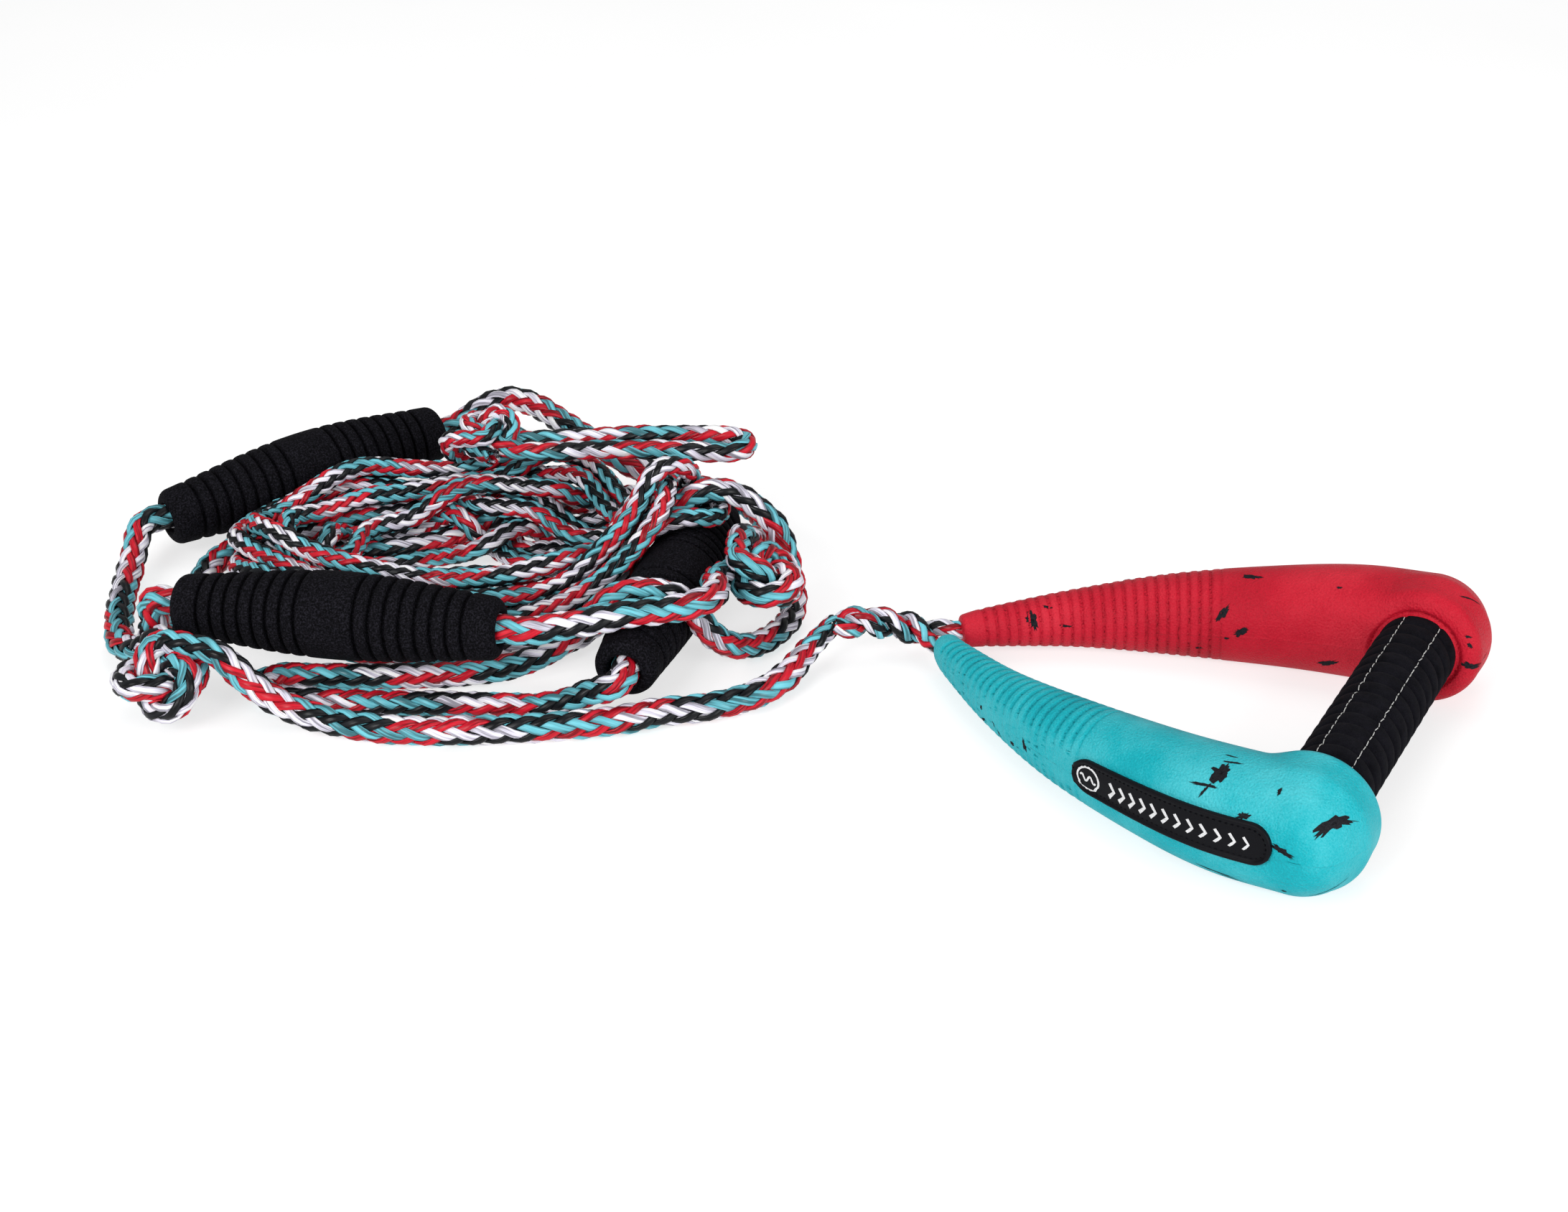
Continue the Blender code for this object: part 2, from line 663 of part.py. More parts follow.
def bar_cutter(name, radius, v_from, v_to, side_sign):
    rings = []
    for v in (v_from, v_to):
        ring = []
        for i in range(18):
            a = 2 * math.pi * i / 18
            ring.append((BAR_U + radius * math.cos(a), v * side_sign, radius * math.sin(a)))
        rings.append(ring)
    return helper(name, loft(rings))


def helper(name, bm):
    """A cutter: seen as a wire and left out of renders."""
    bmesh.ops.recalc_face_normals(bm, faces=bm.faces)
    mesh = bpy.data.meshes.new(name)
    bm.to_mesh(mesh)
    bm.free()
    obj = bpy.data.objects.new(name, mesh)
    bpy.context.scene.collection.objects.link(obj)
    obj.hide_render = True
    obj.display_type = "WIRE"
    return obj


def boolean(obj, other, operation):
    modifier = obj.modifiers.new(other.name, "BOOLEAN")
    modifier.operation = operation
    modifier.object = other
    modifier.solver = "EXACT"


def floor_cutter():
    """A block under the floor, which flattens each elbow where it rests."""
    bm = bmesh.new()
    bmesh.ops.create_cube(bm, size=1.0)
    bm.transform(Matrix.Translation((0.15, 0, -0.5)))
    return helper("floor_cut", bm)


def build_arm(name, side_sign, mat, frame, floor):
    arm = add_object(name, arm_body(side_sign), mat, None, frame)
    collar = helper(name + "_collar", collar_body(side_sign))
    channel_line = respaced(smooth_line(bridle_path(side_sign)[:12], 2 * MM), 5 * MM)
    channel_line = channel_line[1:]
    channel = helper(name + "_channel",
                     loft(tube_rings(channel_line, np.full(len(channel_line), CHANNEL_R), 10)))
    grip_bore = bar_cutter(name + "_grip_bore", COVER_OUTER_R + FIT_GAP, 55 * MM,
                           COVER_HALF + FIT_GAP, side_sign)
    core_bore = bar_cutter(name + "_core_bore", CORE_OUTER_R + FIT_GAP, 55 * MM,
                           CORE_HALF + FIT_GAP, side_sign)
    tube_bore = bar_cutter(name + "_tube_bore", TUBE_OUTER_R + FIT_GAP, 55 * MM,
                           TUBE_HALF + FIT_GAP, side_sign)
    for part in (collar, channel, grip_bore, core_bore, tube_bore):
        part.parent = frame
    boolean(arm, collar, "UNION")
    for part in (grip_bore, core_bore, tube_bore, channel, floor):
        boolean(arm, part, "DIFFERENCE")
    return arm


def bar_sleeve(name, outer, inner, half, mat, frame, sides=18):
    """A plain tube along the grip bar."""
    outline = [(-half, inner), (-half, outer), (half, outer), (half, inner)]
    turn = Matrix.Translation((BAR_U, 0, 0)) @ Matrix.Rotation(math.pi / 2, 4, "Z")
    return add_object(name, turned(outline, sides), mat, turn, frame)


def build_plug(name, side_sign, mat, frame):
    """The bush that keeps the rope off the tube's edge."""
    outer, inner = TUBE_INNER_R - FIT_GAP, BRIDLE_R + 2 * FIT_GAP
    outline = [(0, inner), (0, outer), (PLUG_LENGTH, outer), (PLUG_LENGTH, inner)]
    middle = (TUBE_HALF - PLUG_LENGTH) * side_sign
    if side_sign < 0:
        middle -= PLUG_LENGTH
    turn = Matrix.Translation((BAR_U, middle, 0)) @ Matrix.Rotation(math.pi / 2, 4, "Z")
    return add_object(name, turned(outline, 16), mat, turn, frame)


def build_bridle(mats, frame):
    """One rope through both arms and the bar; its two ends meet at the yoke."""
    one, other = bridle_path(1), bridle_path(-1)[::-1]
    line = np.vstack([one, other[1:]])
    points = respaced(smooth_line(line, 2 * MM), 7 * MM)
    radii = np.full(len(points), BRIDLE_R)
    points, radii = round_end(points, radii, centre_first=True)
    points, radii = round_end(points, radii, centre_first=False)
    return tube("bridle_rope", points, radii, mats["bridle_rope"], parent=frame)


def badge_point(u, height, out, side_sign):
    """A point over the outer side of an arm, height measured round its section."""
    t = badge_station(u)
    centre, radius = arm_centre(t)
    ahead, _ = arm_centre(min(1, t + 0.01))
    way = (ahead - centre) / np.linalg.norm(ahead - centre)
    angle = height / radius + BADGE_LIFT
    reach = (radius + out) * math.cos(angle)
    spot = centre + np.array((-way[1], way[0])) * reach
    return (spot[0], spot[1] * side_sign, (radius + out) * math.sin(angle))


def badge_station(u):
    stations = np.linspace(0, 1, 200)
    reach = np.array([arm_centre(t)[0][0] for t in stations])
    return float(np.interp(u, reach, stations))


def build_badge(name, side_sign, mat, frame):
    """A soft stadium-shaped badge, curved to the arm's outer side."""
    half = BADGE_HALF_HEIGHT
    length = BADGE_END - BADGE_START
    bm = bmesh.new()
    columns = 12
    rows = 4
    layers = []
    for out in (FIT_GAP + 0.35 * MM, FIT_GAP + 0.35 * MM + BADGE_THICKNESS):
        grid = []
        for i in range(columns + 1):
            x = half * 0.12 + (length - half * 0.24) * (0.5 - 0.5 * math.cos(math.pi * i / columns))
            edge = min(x, length - x)
            tall = half if edge > half else math.sqrt(max(0.0, half ** 2 - (half - edge) ** 2))
            grid.append([bm.verts.new(badge_point(BADGE_START + x, tall * (2 * j / rows - 1), out,
                                                  side_sign)) for j in range(rows + 1)])
        layers.append(grid)
    low, high = layers
    for i in range(columns):
        for j in range(rows):
            bm.faces.new((low[i][j], low[i + 1][j], low[i + 1][j + 1], low[i][j + 1]))
            bm.faces.new((high[i][j], high[i][j + 1], high[i + 1][j + 1], high[i + 1][j]))
    rim = [(i, 0) for i in range(columns)] + [(columns, j) for j in range(rows)]
    rim += [(i, rows) for i in range(columns, 0, -1)] + [(0, j) for j in range(rows, 0, -1)]
    for (a, b), (c, d) in zip(rim, rim[1:] + rim[:1]):
        bm.faces.new((low[a][b], high[a][b], high[c][d], low[c][d]))
    return add_object(name, bm, mat, None, frame)


def build_handle(mats):
    turn = Matrix.Rotation(HEADING, 4, "Z") @ Matrix.Rotation(-TILT, 4, "Y")
    frame = add_empty("handle_lift_axis", (0, 0, YOKE_Z), turn)
    floor = floor_cutter()
    build_arm("arm_red", 1, mats["red_foam"], frame, floor)
    build_arm("arm_teal", -1, mats["teal_foam"], frame, floor)
    bar_sleeve("grip_tube", TUBE_OUTER_R, TUBE_INNER_R, TUBE_HALF, mats["tube"], frame)
    bar_sleeve("grip_core", CORE_OUTER_R, TUBE_OUTER_R + FIT_GAP, CORE_HALF, mats["core"], frame)
    bar_sleeve("grip_cover", COVER_OUTER_R, CORE_OUTER_R + FIT_GAP, COVER_HALF, mats["suede"],
               frame)
    build_plug("end_plug_red", 1, mats["nylon"], frame)
    build_plug("end_plug_teal", -1, mats["nylon"], frame)
    build_bridle(mats, frame)
    build_badge("badge_teal", -1, mats["badge"], frame)
    build_badge("badge_red", 1, mats["badge"], frame)


def centre_part():
    """Moves everything so that the origin is under the middle of the part."""
    for obj in bpy.data.objects:
        if obj.parent is None:
            obj.location -= ORIGIN


def main():
    clear_scene()
    mats = make_materials()
    build_ropes(mats)
    build_float("float_left", LEFT_FLOAT, mats["float_foam"])
    build_float("float_front", FRONT_FLOAT, mats["float_foam"])
    build_float("float_right", RIGHT_FLOAT, mats["float_foam"])
    build_lead(mats)
    build_splice(mats)
    build_handle(mats)
    centre_part()


main()
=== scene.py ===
"""Looks of the tow rope handle: braided rope, grooved foam floats, moulded foam arms,
a suede grip and soft badges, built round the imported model.

Rope lines and finished meshes are in metres.  The arms, badges and grip and the floats'
profile are worked out in millimetres and scaled by MM when their mesh is made.  The handle's
own frame has U from the yoke to the grip bar, V towards the red arm, and W up.
"""

import json
import math

import bpy
import numpy as np
from mathutils import Matrix, Vector

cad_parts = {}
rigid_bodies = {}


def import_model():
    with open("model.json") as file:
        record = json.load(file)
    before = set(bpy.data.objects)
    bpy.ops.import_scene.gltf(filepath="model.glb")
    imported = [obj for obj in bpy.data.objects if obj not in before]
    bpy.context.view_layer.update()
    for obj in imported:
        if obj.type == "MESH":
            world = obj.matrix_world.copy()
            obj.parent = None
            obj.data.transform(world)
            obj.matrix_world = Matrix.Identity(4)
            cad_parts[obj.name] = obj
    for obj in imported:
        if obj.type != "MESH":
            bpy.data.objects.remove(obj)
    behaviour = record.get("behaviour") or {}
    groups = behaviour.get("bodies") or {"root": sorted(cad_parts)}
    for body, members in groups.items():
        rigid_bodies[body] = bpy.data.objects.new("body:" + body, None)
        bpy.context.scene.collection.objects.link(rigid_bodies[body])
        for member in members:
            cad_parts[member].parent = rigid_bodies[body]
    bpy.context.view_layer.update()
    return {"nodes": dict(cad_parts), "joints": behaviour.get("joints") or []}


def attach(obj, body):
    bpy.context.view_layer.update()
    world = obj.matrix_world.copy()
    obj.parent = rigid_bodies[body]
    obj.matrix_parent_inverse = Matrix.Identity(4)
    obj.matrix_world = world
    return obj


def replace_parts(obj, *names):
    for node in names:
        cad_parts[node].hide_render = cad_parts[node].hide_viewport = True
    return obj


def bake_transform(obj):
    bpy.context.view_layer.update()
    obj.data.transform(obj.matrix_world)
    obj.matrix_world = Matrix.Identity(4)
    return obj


MM = 0.001
WELD = 2e-6

# Handle frame, arm spine as (U, V, radius), grip and collars, in millimetres
HEADING = math.radians(-29.0)
TILT = math.radians(4.3)
BAR_U = 183
ARM_SPINE = ((4, 8.5, 7.0), (14, 17, 8.6), (45, 38, 12.6), (83, 57, 17.7),
             (125, 72, 21.6), (155, 79.2, 23.9), (183, 81, 24.5))
GRIP_R = 16.3
GRIP_HALF = 70
COLLAR_R = 25.6
COLLAR_MIDDLE = 75.0
COLLAR_END = 63.0
YOKE_Z = 10.5

# Braid, as shares of the rope's radius
PITCH = 12.0
YARN_CENTRE = 0.70
YARN_WAVE = 0.165
YARN_HALF_WIDTH = 0.345
YARN_HALF_THICK = 0.135
SAMPLES_PER_TURN = 28
SECTION_SIDES = 8
THICK_R = 6.35 * MM
THIN_R = 4.7 * MM
LEG_R = 3.9 * MM
LEG_PITCH = 11.0
LEG_BLUR = 2.0

# Rope at a joint, in millimetres: half a bending piece, half its bend, and the loop's share
BEND_PIECE = 12
LOOP_BEND = 26

# Float, in millimetres from its middle
FLOAT_HALF = 70
FLOAT_END_R = 12.9
FLOAT_BULGE = 5.5
FLOAT_EDGE = 4.0
FLOAT_BORE_R = 6.7
FLOAT_SIDES = 112
FLOAT_SEED = 7
GROOVES = [12.6 + 6.35 * k for k in range(8)]

# Arm skin, in millimetres
VOXEL = 0.65
RIB_PITCH = 4.6
RIB_END = 112.0
RIB_HEIGHT = 1.3
PARTING_LINE = 0.22
FLAT_SIDE = 0.90
COLLAR_ROUND = 6.5
COLLAR_BLEND = 3.0
SLOPE_STEP = 0.12
FARTHEST_SKIN = 45.0
SKIN_HALVINGS = 22
PULL_ROUNDS = 5
ROUGH_COLLAR = ((62.8, 8), (63.0, 19), (66, 23), (70, 24.4), (88, 24.4), (94, 20), (96.6, 8))

# Paint flecks
PATCH_RINGS = 9
FLECK_CORNERS = 30
PAINT_LIFT = 0.10

# Badge: size and heights in millimetres, its middle along the arm and its turn in degrees
BADGE_LONG = 84.5
BADGE_TALL = 17.0
BADGE_MIDDLE = 151.6
BADGE_TURN = 9.0
BADGE_FACE = 1.22
MARK_LIFT = 1.32
RIM_STITCH_INSET = 2.6
CHEVRONS = 12
CHEVRON_STEP = 4.9

# Grip: seams in degrees from the top, each stitch's rings, sides, length and gap, and the
# spacing of the core's rings
SEAM_ANGLES = (-18, 36)
STITCH_ROWS = 7
STITCH_SIDES = 6
STITCH_MM = 3.1
STITCH_GAP_MM = 0.55
CORE_RING_MM = 8.4

# Stage: half the floor's width, the surround's strength on the object, the floor's own glow,
# and the lamps as name, place, aim, power and size
FLOOR_HALF = 6.0
FILL_LIGHT = 0.36
FLOOR_GLOW = 0.34
FLOOR_GLOW_SEEN = 0.66
LAMPS = (("key", (-0.9, -1.2, 0.95), (0, 0, 0), 16.0, 0.8),
         ("side", (1.0, -1.1, 0.6), (0.1, 0, 0), 11.0, 0.8),
         ("top", (0.2, 0.5, 1.5), (0, 0.1, 0), 5.0, 1.0))

# Camera
LOOKING_DOWN = math.radians(30)
CAMERA_DISTANCE = 1.08
CAMERA_TARGET = (0.0022, 0.0401, 0)
LENS_MM = 56.04


# ---- materials

class Nodes:
    """A small helper to write a node tree one line per node."""

    def __init__(self, name, kind="materials", last="Principled BSDF"):
        self.owner = getattr(bpy.data, kind).new(name)
        self.owner.use_nodes = True
        self.tree = self.owner.node_tree
        self.last = self.tree.nodes[last]

    def add(self, kind, settings=(), **inputs):
        """A new node; settings are pairs of a property and its value."""
        node = self.tree.nodes.new("ShaderNode" + kind)
        for key, value in settings:
            setattr(node, key, value)
        self.set_inputs(node, inputs)
        return node

    def set_inputs(self, node, inputs):
        for key, value in inputs.items():
            self.put(node.inputs[key.replace("_", " ")], value)

    def put(self, socket, value):
        if isinstance(value, bpy.types.NodeSocket):
            self.tree.links.new(value, socket)
        else:
            socket.default_value = value

    def noise(self, vector, scale, detail=3.0, roughness=0.5):
        return self.add("TexNoise", (), Vector=vector, Scale=scale, Detail=detail,
                        Roughness=roughness).outputs["Fac"]

    def mapped(self, place, scale=(1, 1, 1)):
        return self.add("Mapping", (), Vector=place, Scale=scale).outputs["Vector"]

    def object_place(self):
        return self.mapped(self.add("TexCoord").outputs["Object"])

    def uv_place(self, scale):
        return self.mapped(self.add("UVMap", [("uv_map", "along")]).outputs["UV"], scale)

    def ramp(self, factor, stops):
        node = self.add("ValToRGB", (), Fac=factor)
        ramp = node.color_ramp
        ramp.elements[0].position, ramp.elements[0].color = stops[0][0], (*stops[0][1], 1)
        ramp.elements[1].position, ramp.elements[1].color = stops[-1][0], (*stops[-1][1], 1)
        for position, colour in stops[1:-1]:
            ramp.elements.new(position).color = (*colour, 1)
        return node.outputs["Color"]

    def span(self, factor, low, high, start=0.0, end=1.0):
        return self.add("MapRange", (), Value=factor, From_Min=start, From_Max=end,
                        To_Min=low, To_Max=high).outputs["Result"]

    def maths(self, operation, a, b):
        node = self.add("Math", [("operation", operation)])
        self.put(node.inputs[0], a)
        self.put(node.inputs[1], b)
        return node.outputs[0]

    def mix(self, a, a_share, b, b_share):
        """The weighted sum of two fields."""
        return self.maths("ADD", self.maths("MULTIPLY", a, a_share),
                          self.maths("MULTIPLY", b, b_share))

    def bump(self, height, strength, distance):
        return self.add("Bump", (), Strength=strength, Distance=distance,
                        Height=height).outputs["Normal"]

    def finish(self, **inputs):
        self.set_inputs(self.last, inputs)
        return self.owner


def shade(colour, factor):
    return tuple(min(1.0, c * factor) for c in colour)


def yarn_material(name, colour, gloss=0.4):
    """Glossy flat filaments: fine lines along the yarn, in height, colour and gloss."""
    n = Nodes(name)
    fibres = n.noise(n.uv_place((40, 2200, 1)), 1.0, 2.0)
    strands = n.noise(n.uv_place((28, 1000, 1)), 1.0, 2.0)
    both = n.mix(fibres, 0.5, strands, 0.5)
    tone = n.ramp(both, [(0.42, shade(colour, 0.36)), (0.50, colour), (0.58, shade(colour, 1.35))])
    return n.finish(Base_Color=tone, Roughness=n.span(both, 0.24, 0.46, 0.3, 0.7),
                    Specular_IOR_Level=gloss, Normal=n.bump(both, 0.9, 0.45 * MM))


def float_material():
    n = Nodes("float_foam")
    place = n.object_place()
    grain = n.noise(place, 1300, 3.0, 0.65)
    pores = n.noise(place, 700, 2.0)
    tone = n.ramp(grain, [(0.38, (0.001, 0.001, 0.0015)), (0.5, (0.0045, 0.0042, 0.006)),
                          (0.66, (0.017, 0.016, 0.022))])
    height = n.mix(grain, 0.6, pores, 0.4)
    return n.finish(Base_Color=tone, Roughness=0.85, Specular_IOR_Level=0.07,
                    Normal=n.bump(height, 0.6, 0.5 * MM))


def arm_material(name, dark, middle, light):
    """Satin moulded foam: leather grain, soft mottling, and painted shade that darkens the colour
    in the grooves.
    """
    n = Nodes(name)
    place = n.object_place()
    cells = n.add("TexVoronoi", [("feature", "SMOOTH_F1")], Vector=place, Scale=1050,
                  Smoothness=0.6, Randomness=1.0).outputs["Distance"]
    grain = n.noise(place, 1500, 3.0, 0.6)
    height = n.mix(cells, 0.7, grain, 0.6)
    cloud = n.noise(place, 28, 3.0, 0.6)
    groove = n.add("Attribute", [("attribute_name", "groove")]).outputs["Fac"]
    # painted shade: the colour is pulled darker by how deep each point lies in a groove between the
    # ribs
    shift = n.maths("SUBTRACT", n.span(cloud, 0.42, 0.70, 0.3, 0.7),
                    n.maths("MULTIPLY", groove, 0.55))
    speck_and_groove_shade = n.maths("ADD", shift, n.span(grain, -0.08, 0.08, 0.3, 0.7))
    tone = n.ramp(speck_and_groove_shade, [(0.12, dark), (0.5, middle), (0.85, light)])
    return n.finish(Base_Color=tone, Roughness=n.span(grain, 0.36, 0.56, 0.3, 0.7),
                    Specular_IOR_Level=0.16, Normal=n.bump(height, 0.9, 0.50 * MM))


def paint_material():
    n = Nodes("black_flecks")
    grain = n.noise(n.object_place(), 1500, 3.0)
    tone = n.ramp(grain, [(0.3, (0.004, 0.004, 0.006)), (0.75, (0.018, 0.019, 0.024))])
    return n.finish(Base_Color=tone, Roughness=0.6, Specular_IOR_Level=0.12,
                    Normal=n.bump(grain, 0.5, 0.4 * MM))


def suede_material():
    n = Nodes("black_suede")
    place = n.object_place()
    nap = n.noise(place, 2600, 2.0, 0.7)
    brushed = n.noise(place, 160, 4.0, 0.65)
    both = n.mix(nap, 0.55, brushed, 0.45)
    tone = n.ramp(both, [(0.35, (0.0015, 0.0015, 0.0025)), (0.7, (0.011, 0.0105, 0.015))])
    return n.finish(Base_Color=tone, Roughness=0.95, Specular_IOR_Level=0.06,
                    Sheen_Weight=0.015, Sheen_Roughness=0.4, Normal=n.bump(both, 0.6, 0.5 * MM))


def thread_material(name, colour):
    n = Nodes(name)
    twist = n.noise(n.uv_place((2500, 400, 1)), 1.0, 1.0)
    tone = n.ramp(twist, [(0.35, shade(colour, 0.6)), (0.65, colour)])
    return n.finish(Base_Color=tone, Roughness=0.6, Normal=n.bump(twist, 0.4, 0.15 * MM))


def vinyl_material(name, colour, roughness):
    n = Nodes(name)
    grain = n.noise(n.object_place(), 1400, 2.0)
    tone = n.ramp(grain, [(0.3, shade(colour, 0.85)), (0.7, shade(colour, 1.15))])
    return n.finish(Base_Color=tone, Roughness=n.span(grain, roughness, roughness + 0.12),
                    Specular_IOR_Level=0.13, Normal=n.bump(grain, 0.2, 0.2 * MM))


def metal_material():
    n = Nodes("anodised_tube")
    lines = n.noise(n.object_place(), 900, 2.0)
    tone = n.ramp(lines, [(0.3, (0.62, 0.63, 0.65)), (0.7, (0.80, 0.81, 0.83))])
    return n.finish(Base_Color=tone, Metallic=1.0, Roughness=n.span(lines, 0.28, 0.42))


# ---- meshes

def new_mesh(name, points, faces, mats, slots=None, uvs=None, normals=None):
    """A mesh object from points and four corners per face, where a repeated corner makes a
    triangle.  Slots go face by face, UVs corner by corner and normals point by point."""
    mesh = bpy.data.meshes.new(name)
    corners = [tuple(dict.fromkeys(face)) for face in faces.tolist()]
    mesh.from_pydata(points.tolist(), [], corners)
    for mat in mats:
        mesh.materials.append(mat)
    if slots is not None:
        mesh.polygons.foreach_set("material_index", slots.astype(np.int32))
    if uvs is not None:
        layer = mesh.uv_layers.new(name="along")
        layer.data.foreach_set("uv", uvs.astype(np.float32).ravel())
    mesh.validate()
    mesh.shade_smooth()
    if normals is not None:
        mesh.normals_split_custom_set_from_vertices(normals)
    return linked(name, mesh)


def linked(name, data):
    """A new object in the scene that shows the given mesh, light or camera."""
    obj = bpy.data.objects.new(name, data)
    bpy.context.scene.collection.objects.link(obj)
    return obj


def band_faces(rows, columns, first=0, closed=True):
    """Quads of a grid of rows x columns points, closed round its columns or not."""
    i = np.arange(rows - 1)[:, None]
    last = columns if closed else columns - 1
    j = np.arange(last)[None, :]
    nxt = (j + 1) % columns
    corners = [i * columns + j, i * columns + nxt, (i + 1) * columns + nxt, (i + 1) * columns + j]
    return first + np.stack(np.broadcast_arrays(*corners), axis=-1).reshape(-1, 4)


def merged(parts):
    """One set of points and faces from several, each given as (points, faces)."""
    points, faces, total = [], [], 0
    for part_points, part_faces in parts:
        points.append(part_points)
        faces.append(part_faces + total)
        total += len(part_points)
    return np.vstack(points), np.vstack(faces)


def tube_uv(faces, sides, along, width):
    """UVs for a tube's faces: U from each ring's place along it, V round it."""
    row, column = faces // sides, faces % sides
    wraps = (column[:, [0]] == sides - 1) & (column == 0)
    column = np.where(wraps, sides, column)
    return np.stack([along[row], column * width], axis=-1).reshape(-1, 2)


def unit(vectors):
    return vectors / np.maximum(np.linalg.norm(vectors, axis=-1, keepdims=True), 1e-12)


# ---- rope lines

def welded(node):
    """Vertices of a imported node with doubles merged, and its triangles."""
    mesh = node.data
    points = np.empty(len(mesh.vertices) * 3)
    mesh.vertices.foreach_get("co", points)
    points = points.reshape(-1, 3)
    _, first, index = np.unique(np.round(points / WELD), axis=0, return_index=True,
                                return_inverse=True)
    mesh.calc_loop_triangles()
    faces = np.empty(len(mesh.loop_triangles) * 3, np.int32)
    mesh.loop_triangles.foreach_get("vertices", faces)
    return points[first], index.reshape(-1)[faces.reshape(-1, 3)]


def steps_from(start, links, count):
    """How many edges away from the start points each point is."""
    away = np.full(count, -1)
    away[list(start)] = 0
    front = list(start)
    while front:
        following = []
        for i in front:
            for j in links[i]:
                if away[j] < 0:
                    away[j] = away[i] + 1
                    following.append(j)
        front = following
    return away


def tube_line(node):
    """The centre line and radii of a rope, read ring by ring from its packed tube."""
    points, faces = welded(node)
    links = [set() for _ in points]
    for a, b, c in faces:
        links[a] |= {b, c}
        links[b] |= {a, c}
        links[c] |= {a, b}
    far = int(np.argmax(steps_from([0], links, len(points))))
    near = np.nonzero(steps_from([far], links, len(points)) <= 3)[0]
    best = []
    for face in faces[(faces == far).any(axis=1)]:
        a, b, c = points[face]
        normal = np.cross(b - a, c - a)
        size = np.linalg.norm(normal)
        if size > 0:
            flat = near[np.abs((points[near] - a) @ (normal / size)) < 2 * WELD]
            best = flat if len(flat) > len(best) else best
    ring = steps_from(list(best), links, len(points))
    centres, radii = [], []
    for k in range(ring.max() + 1):
        members = points[ring == k]
        centres.append(members.mean(axis=0))
        radii.append(np.linalg.norm(members - members.mean(axis=0), axis=1).max())
    return np.array(centres), np.array(radii)


def towards(line, radii, place):
    """The same line, turned round if needed so that it starts nearest to place."""
    first, last = np.linalg.norm(line[[0, -1]] - place, axis=1)
    return (line, radii) if first <= last else (line[::-1], radii[::-1])


def smooth(values, sigma):
    """A Gaussian blur along the first axis that leaves both ends where they are."""
    reach = int(3 * sigma) + 1
    weights = np.exp(-0.5 * (np.arange(-reach, reach + 1) / sigma) ** 2)
    weights /= weights.sum()
    flat = values if values.ndim == 2 else values[:, None]
    before = 2 * flat[0] - flat[1:reach + 1][::-1]
    after = 2 * flat[-1] - flat[-reach - 1:-1][::-1]
    padded = np.vstack([before, flat, after])
    out = np.stack([np.convolve(padded[:, i], weights, "valid") for i in range(flat.shape[1])],
                   axis=1)
    return out if values.ndim == 2 else out[:, 0]


class Line:
    """A rope's centre line at every millimetre, with radius and a steady side vector."""

    def __init__(self, points, radii, blur_mm=3.0):
        chord = np.linalg.norm(np.diff(points, axis=0), axis=1)
        keep = np.concatenate([[True], chord > 1e-5])
        points, radii = points[keep], radii[keep]
        chord = np.linalg.norm(np.diff(points, axis=0), axis=1)
        at = np.concatenate([[0], np.cumsum(chord)])
        dense = np.arange(0, at[-1], MM)
        self.points = smooth(hermite(at, points, dense), blur_mm)
        self.radii = smooth(np.interp(dense, at, radii), 6.0)
        self.length = len(dense)
        self.make_frames()

    def make_frames(self):
        tangent = unit(np.gradient(self.points, axis=0))
        side = np.cross(tangent[0], (0, 0, 1.0))
        if np.linalg.norm(side) < 0.1:
            side = np.cross(tangent[0], (1.0, 0, 0))
        sides = []
        for t in tangent:
            side = side - t * side.dot(t)
            side = side / math.sqrt(side.dot(side))
            sides.append(side)
        self.side = np.array(sides)
        self.up = np.cross(tangent, self.side)

    def at(self, places):
        """Points, radii and both side vectors at places given in millimetres."""
        index = np.arange(self.length)
        points, side, up = (read_rows(places, index, values)
                            for values in (self.points, self.side, self.up))
        return points, np.interp(places, index, self.radii), unit(side), unit(up)

    def nearest(self, place):
        return int(np.argmin(np.linalg.norm(self.points - place, axis=1)))


def read_rows(places, stations, values):
    """Rows of a table read between its stations, column by column."""
    return np.stack([np.interp(places, stations, column) for column in values.T], axis=1)


def hermite(at, values, places):
    """Cubic interpolation through uneven stations."""
    slopes = np.gradient(values, at, axis=0)
    i = np.clip(np.searchsorted(at, places, side="right") - 1, 0, len(at) - 2)
    step = (at[i + 1] - at[i])[:, None]
    t = ((places - at[i])[:, None]) / step
    a, b = values[i], values[i + 1]
    m, n = slopes[i] * step, slopes[i + 1] * step
    return ((2 * t ** 3 - 3 * t ** 2 + 1) * a + (t ** 3 - 2 * t ** 2 + t) * m
            + (3 * t ** 2 - 2 * t ** 3) * b + (t ** 3 - t ** 2) * n)


def wander(places, seed, period_mm, size):
    """A slow, seeded, smooth random change along the rope."""
    rng = np.random.default_rng(seed)
    total = np.zeros(len(places))
    for _ in range(5):
        phase = rng.uniform(0, 2 * math.pi)
        wave = period_mm * rng.uniform(0.6, 1.8)
        total += np.sin(2 * math.pi * places / wave + phase)
    return size * total / 2.2


# ---- braid

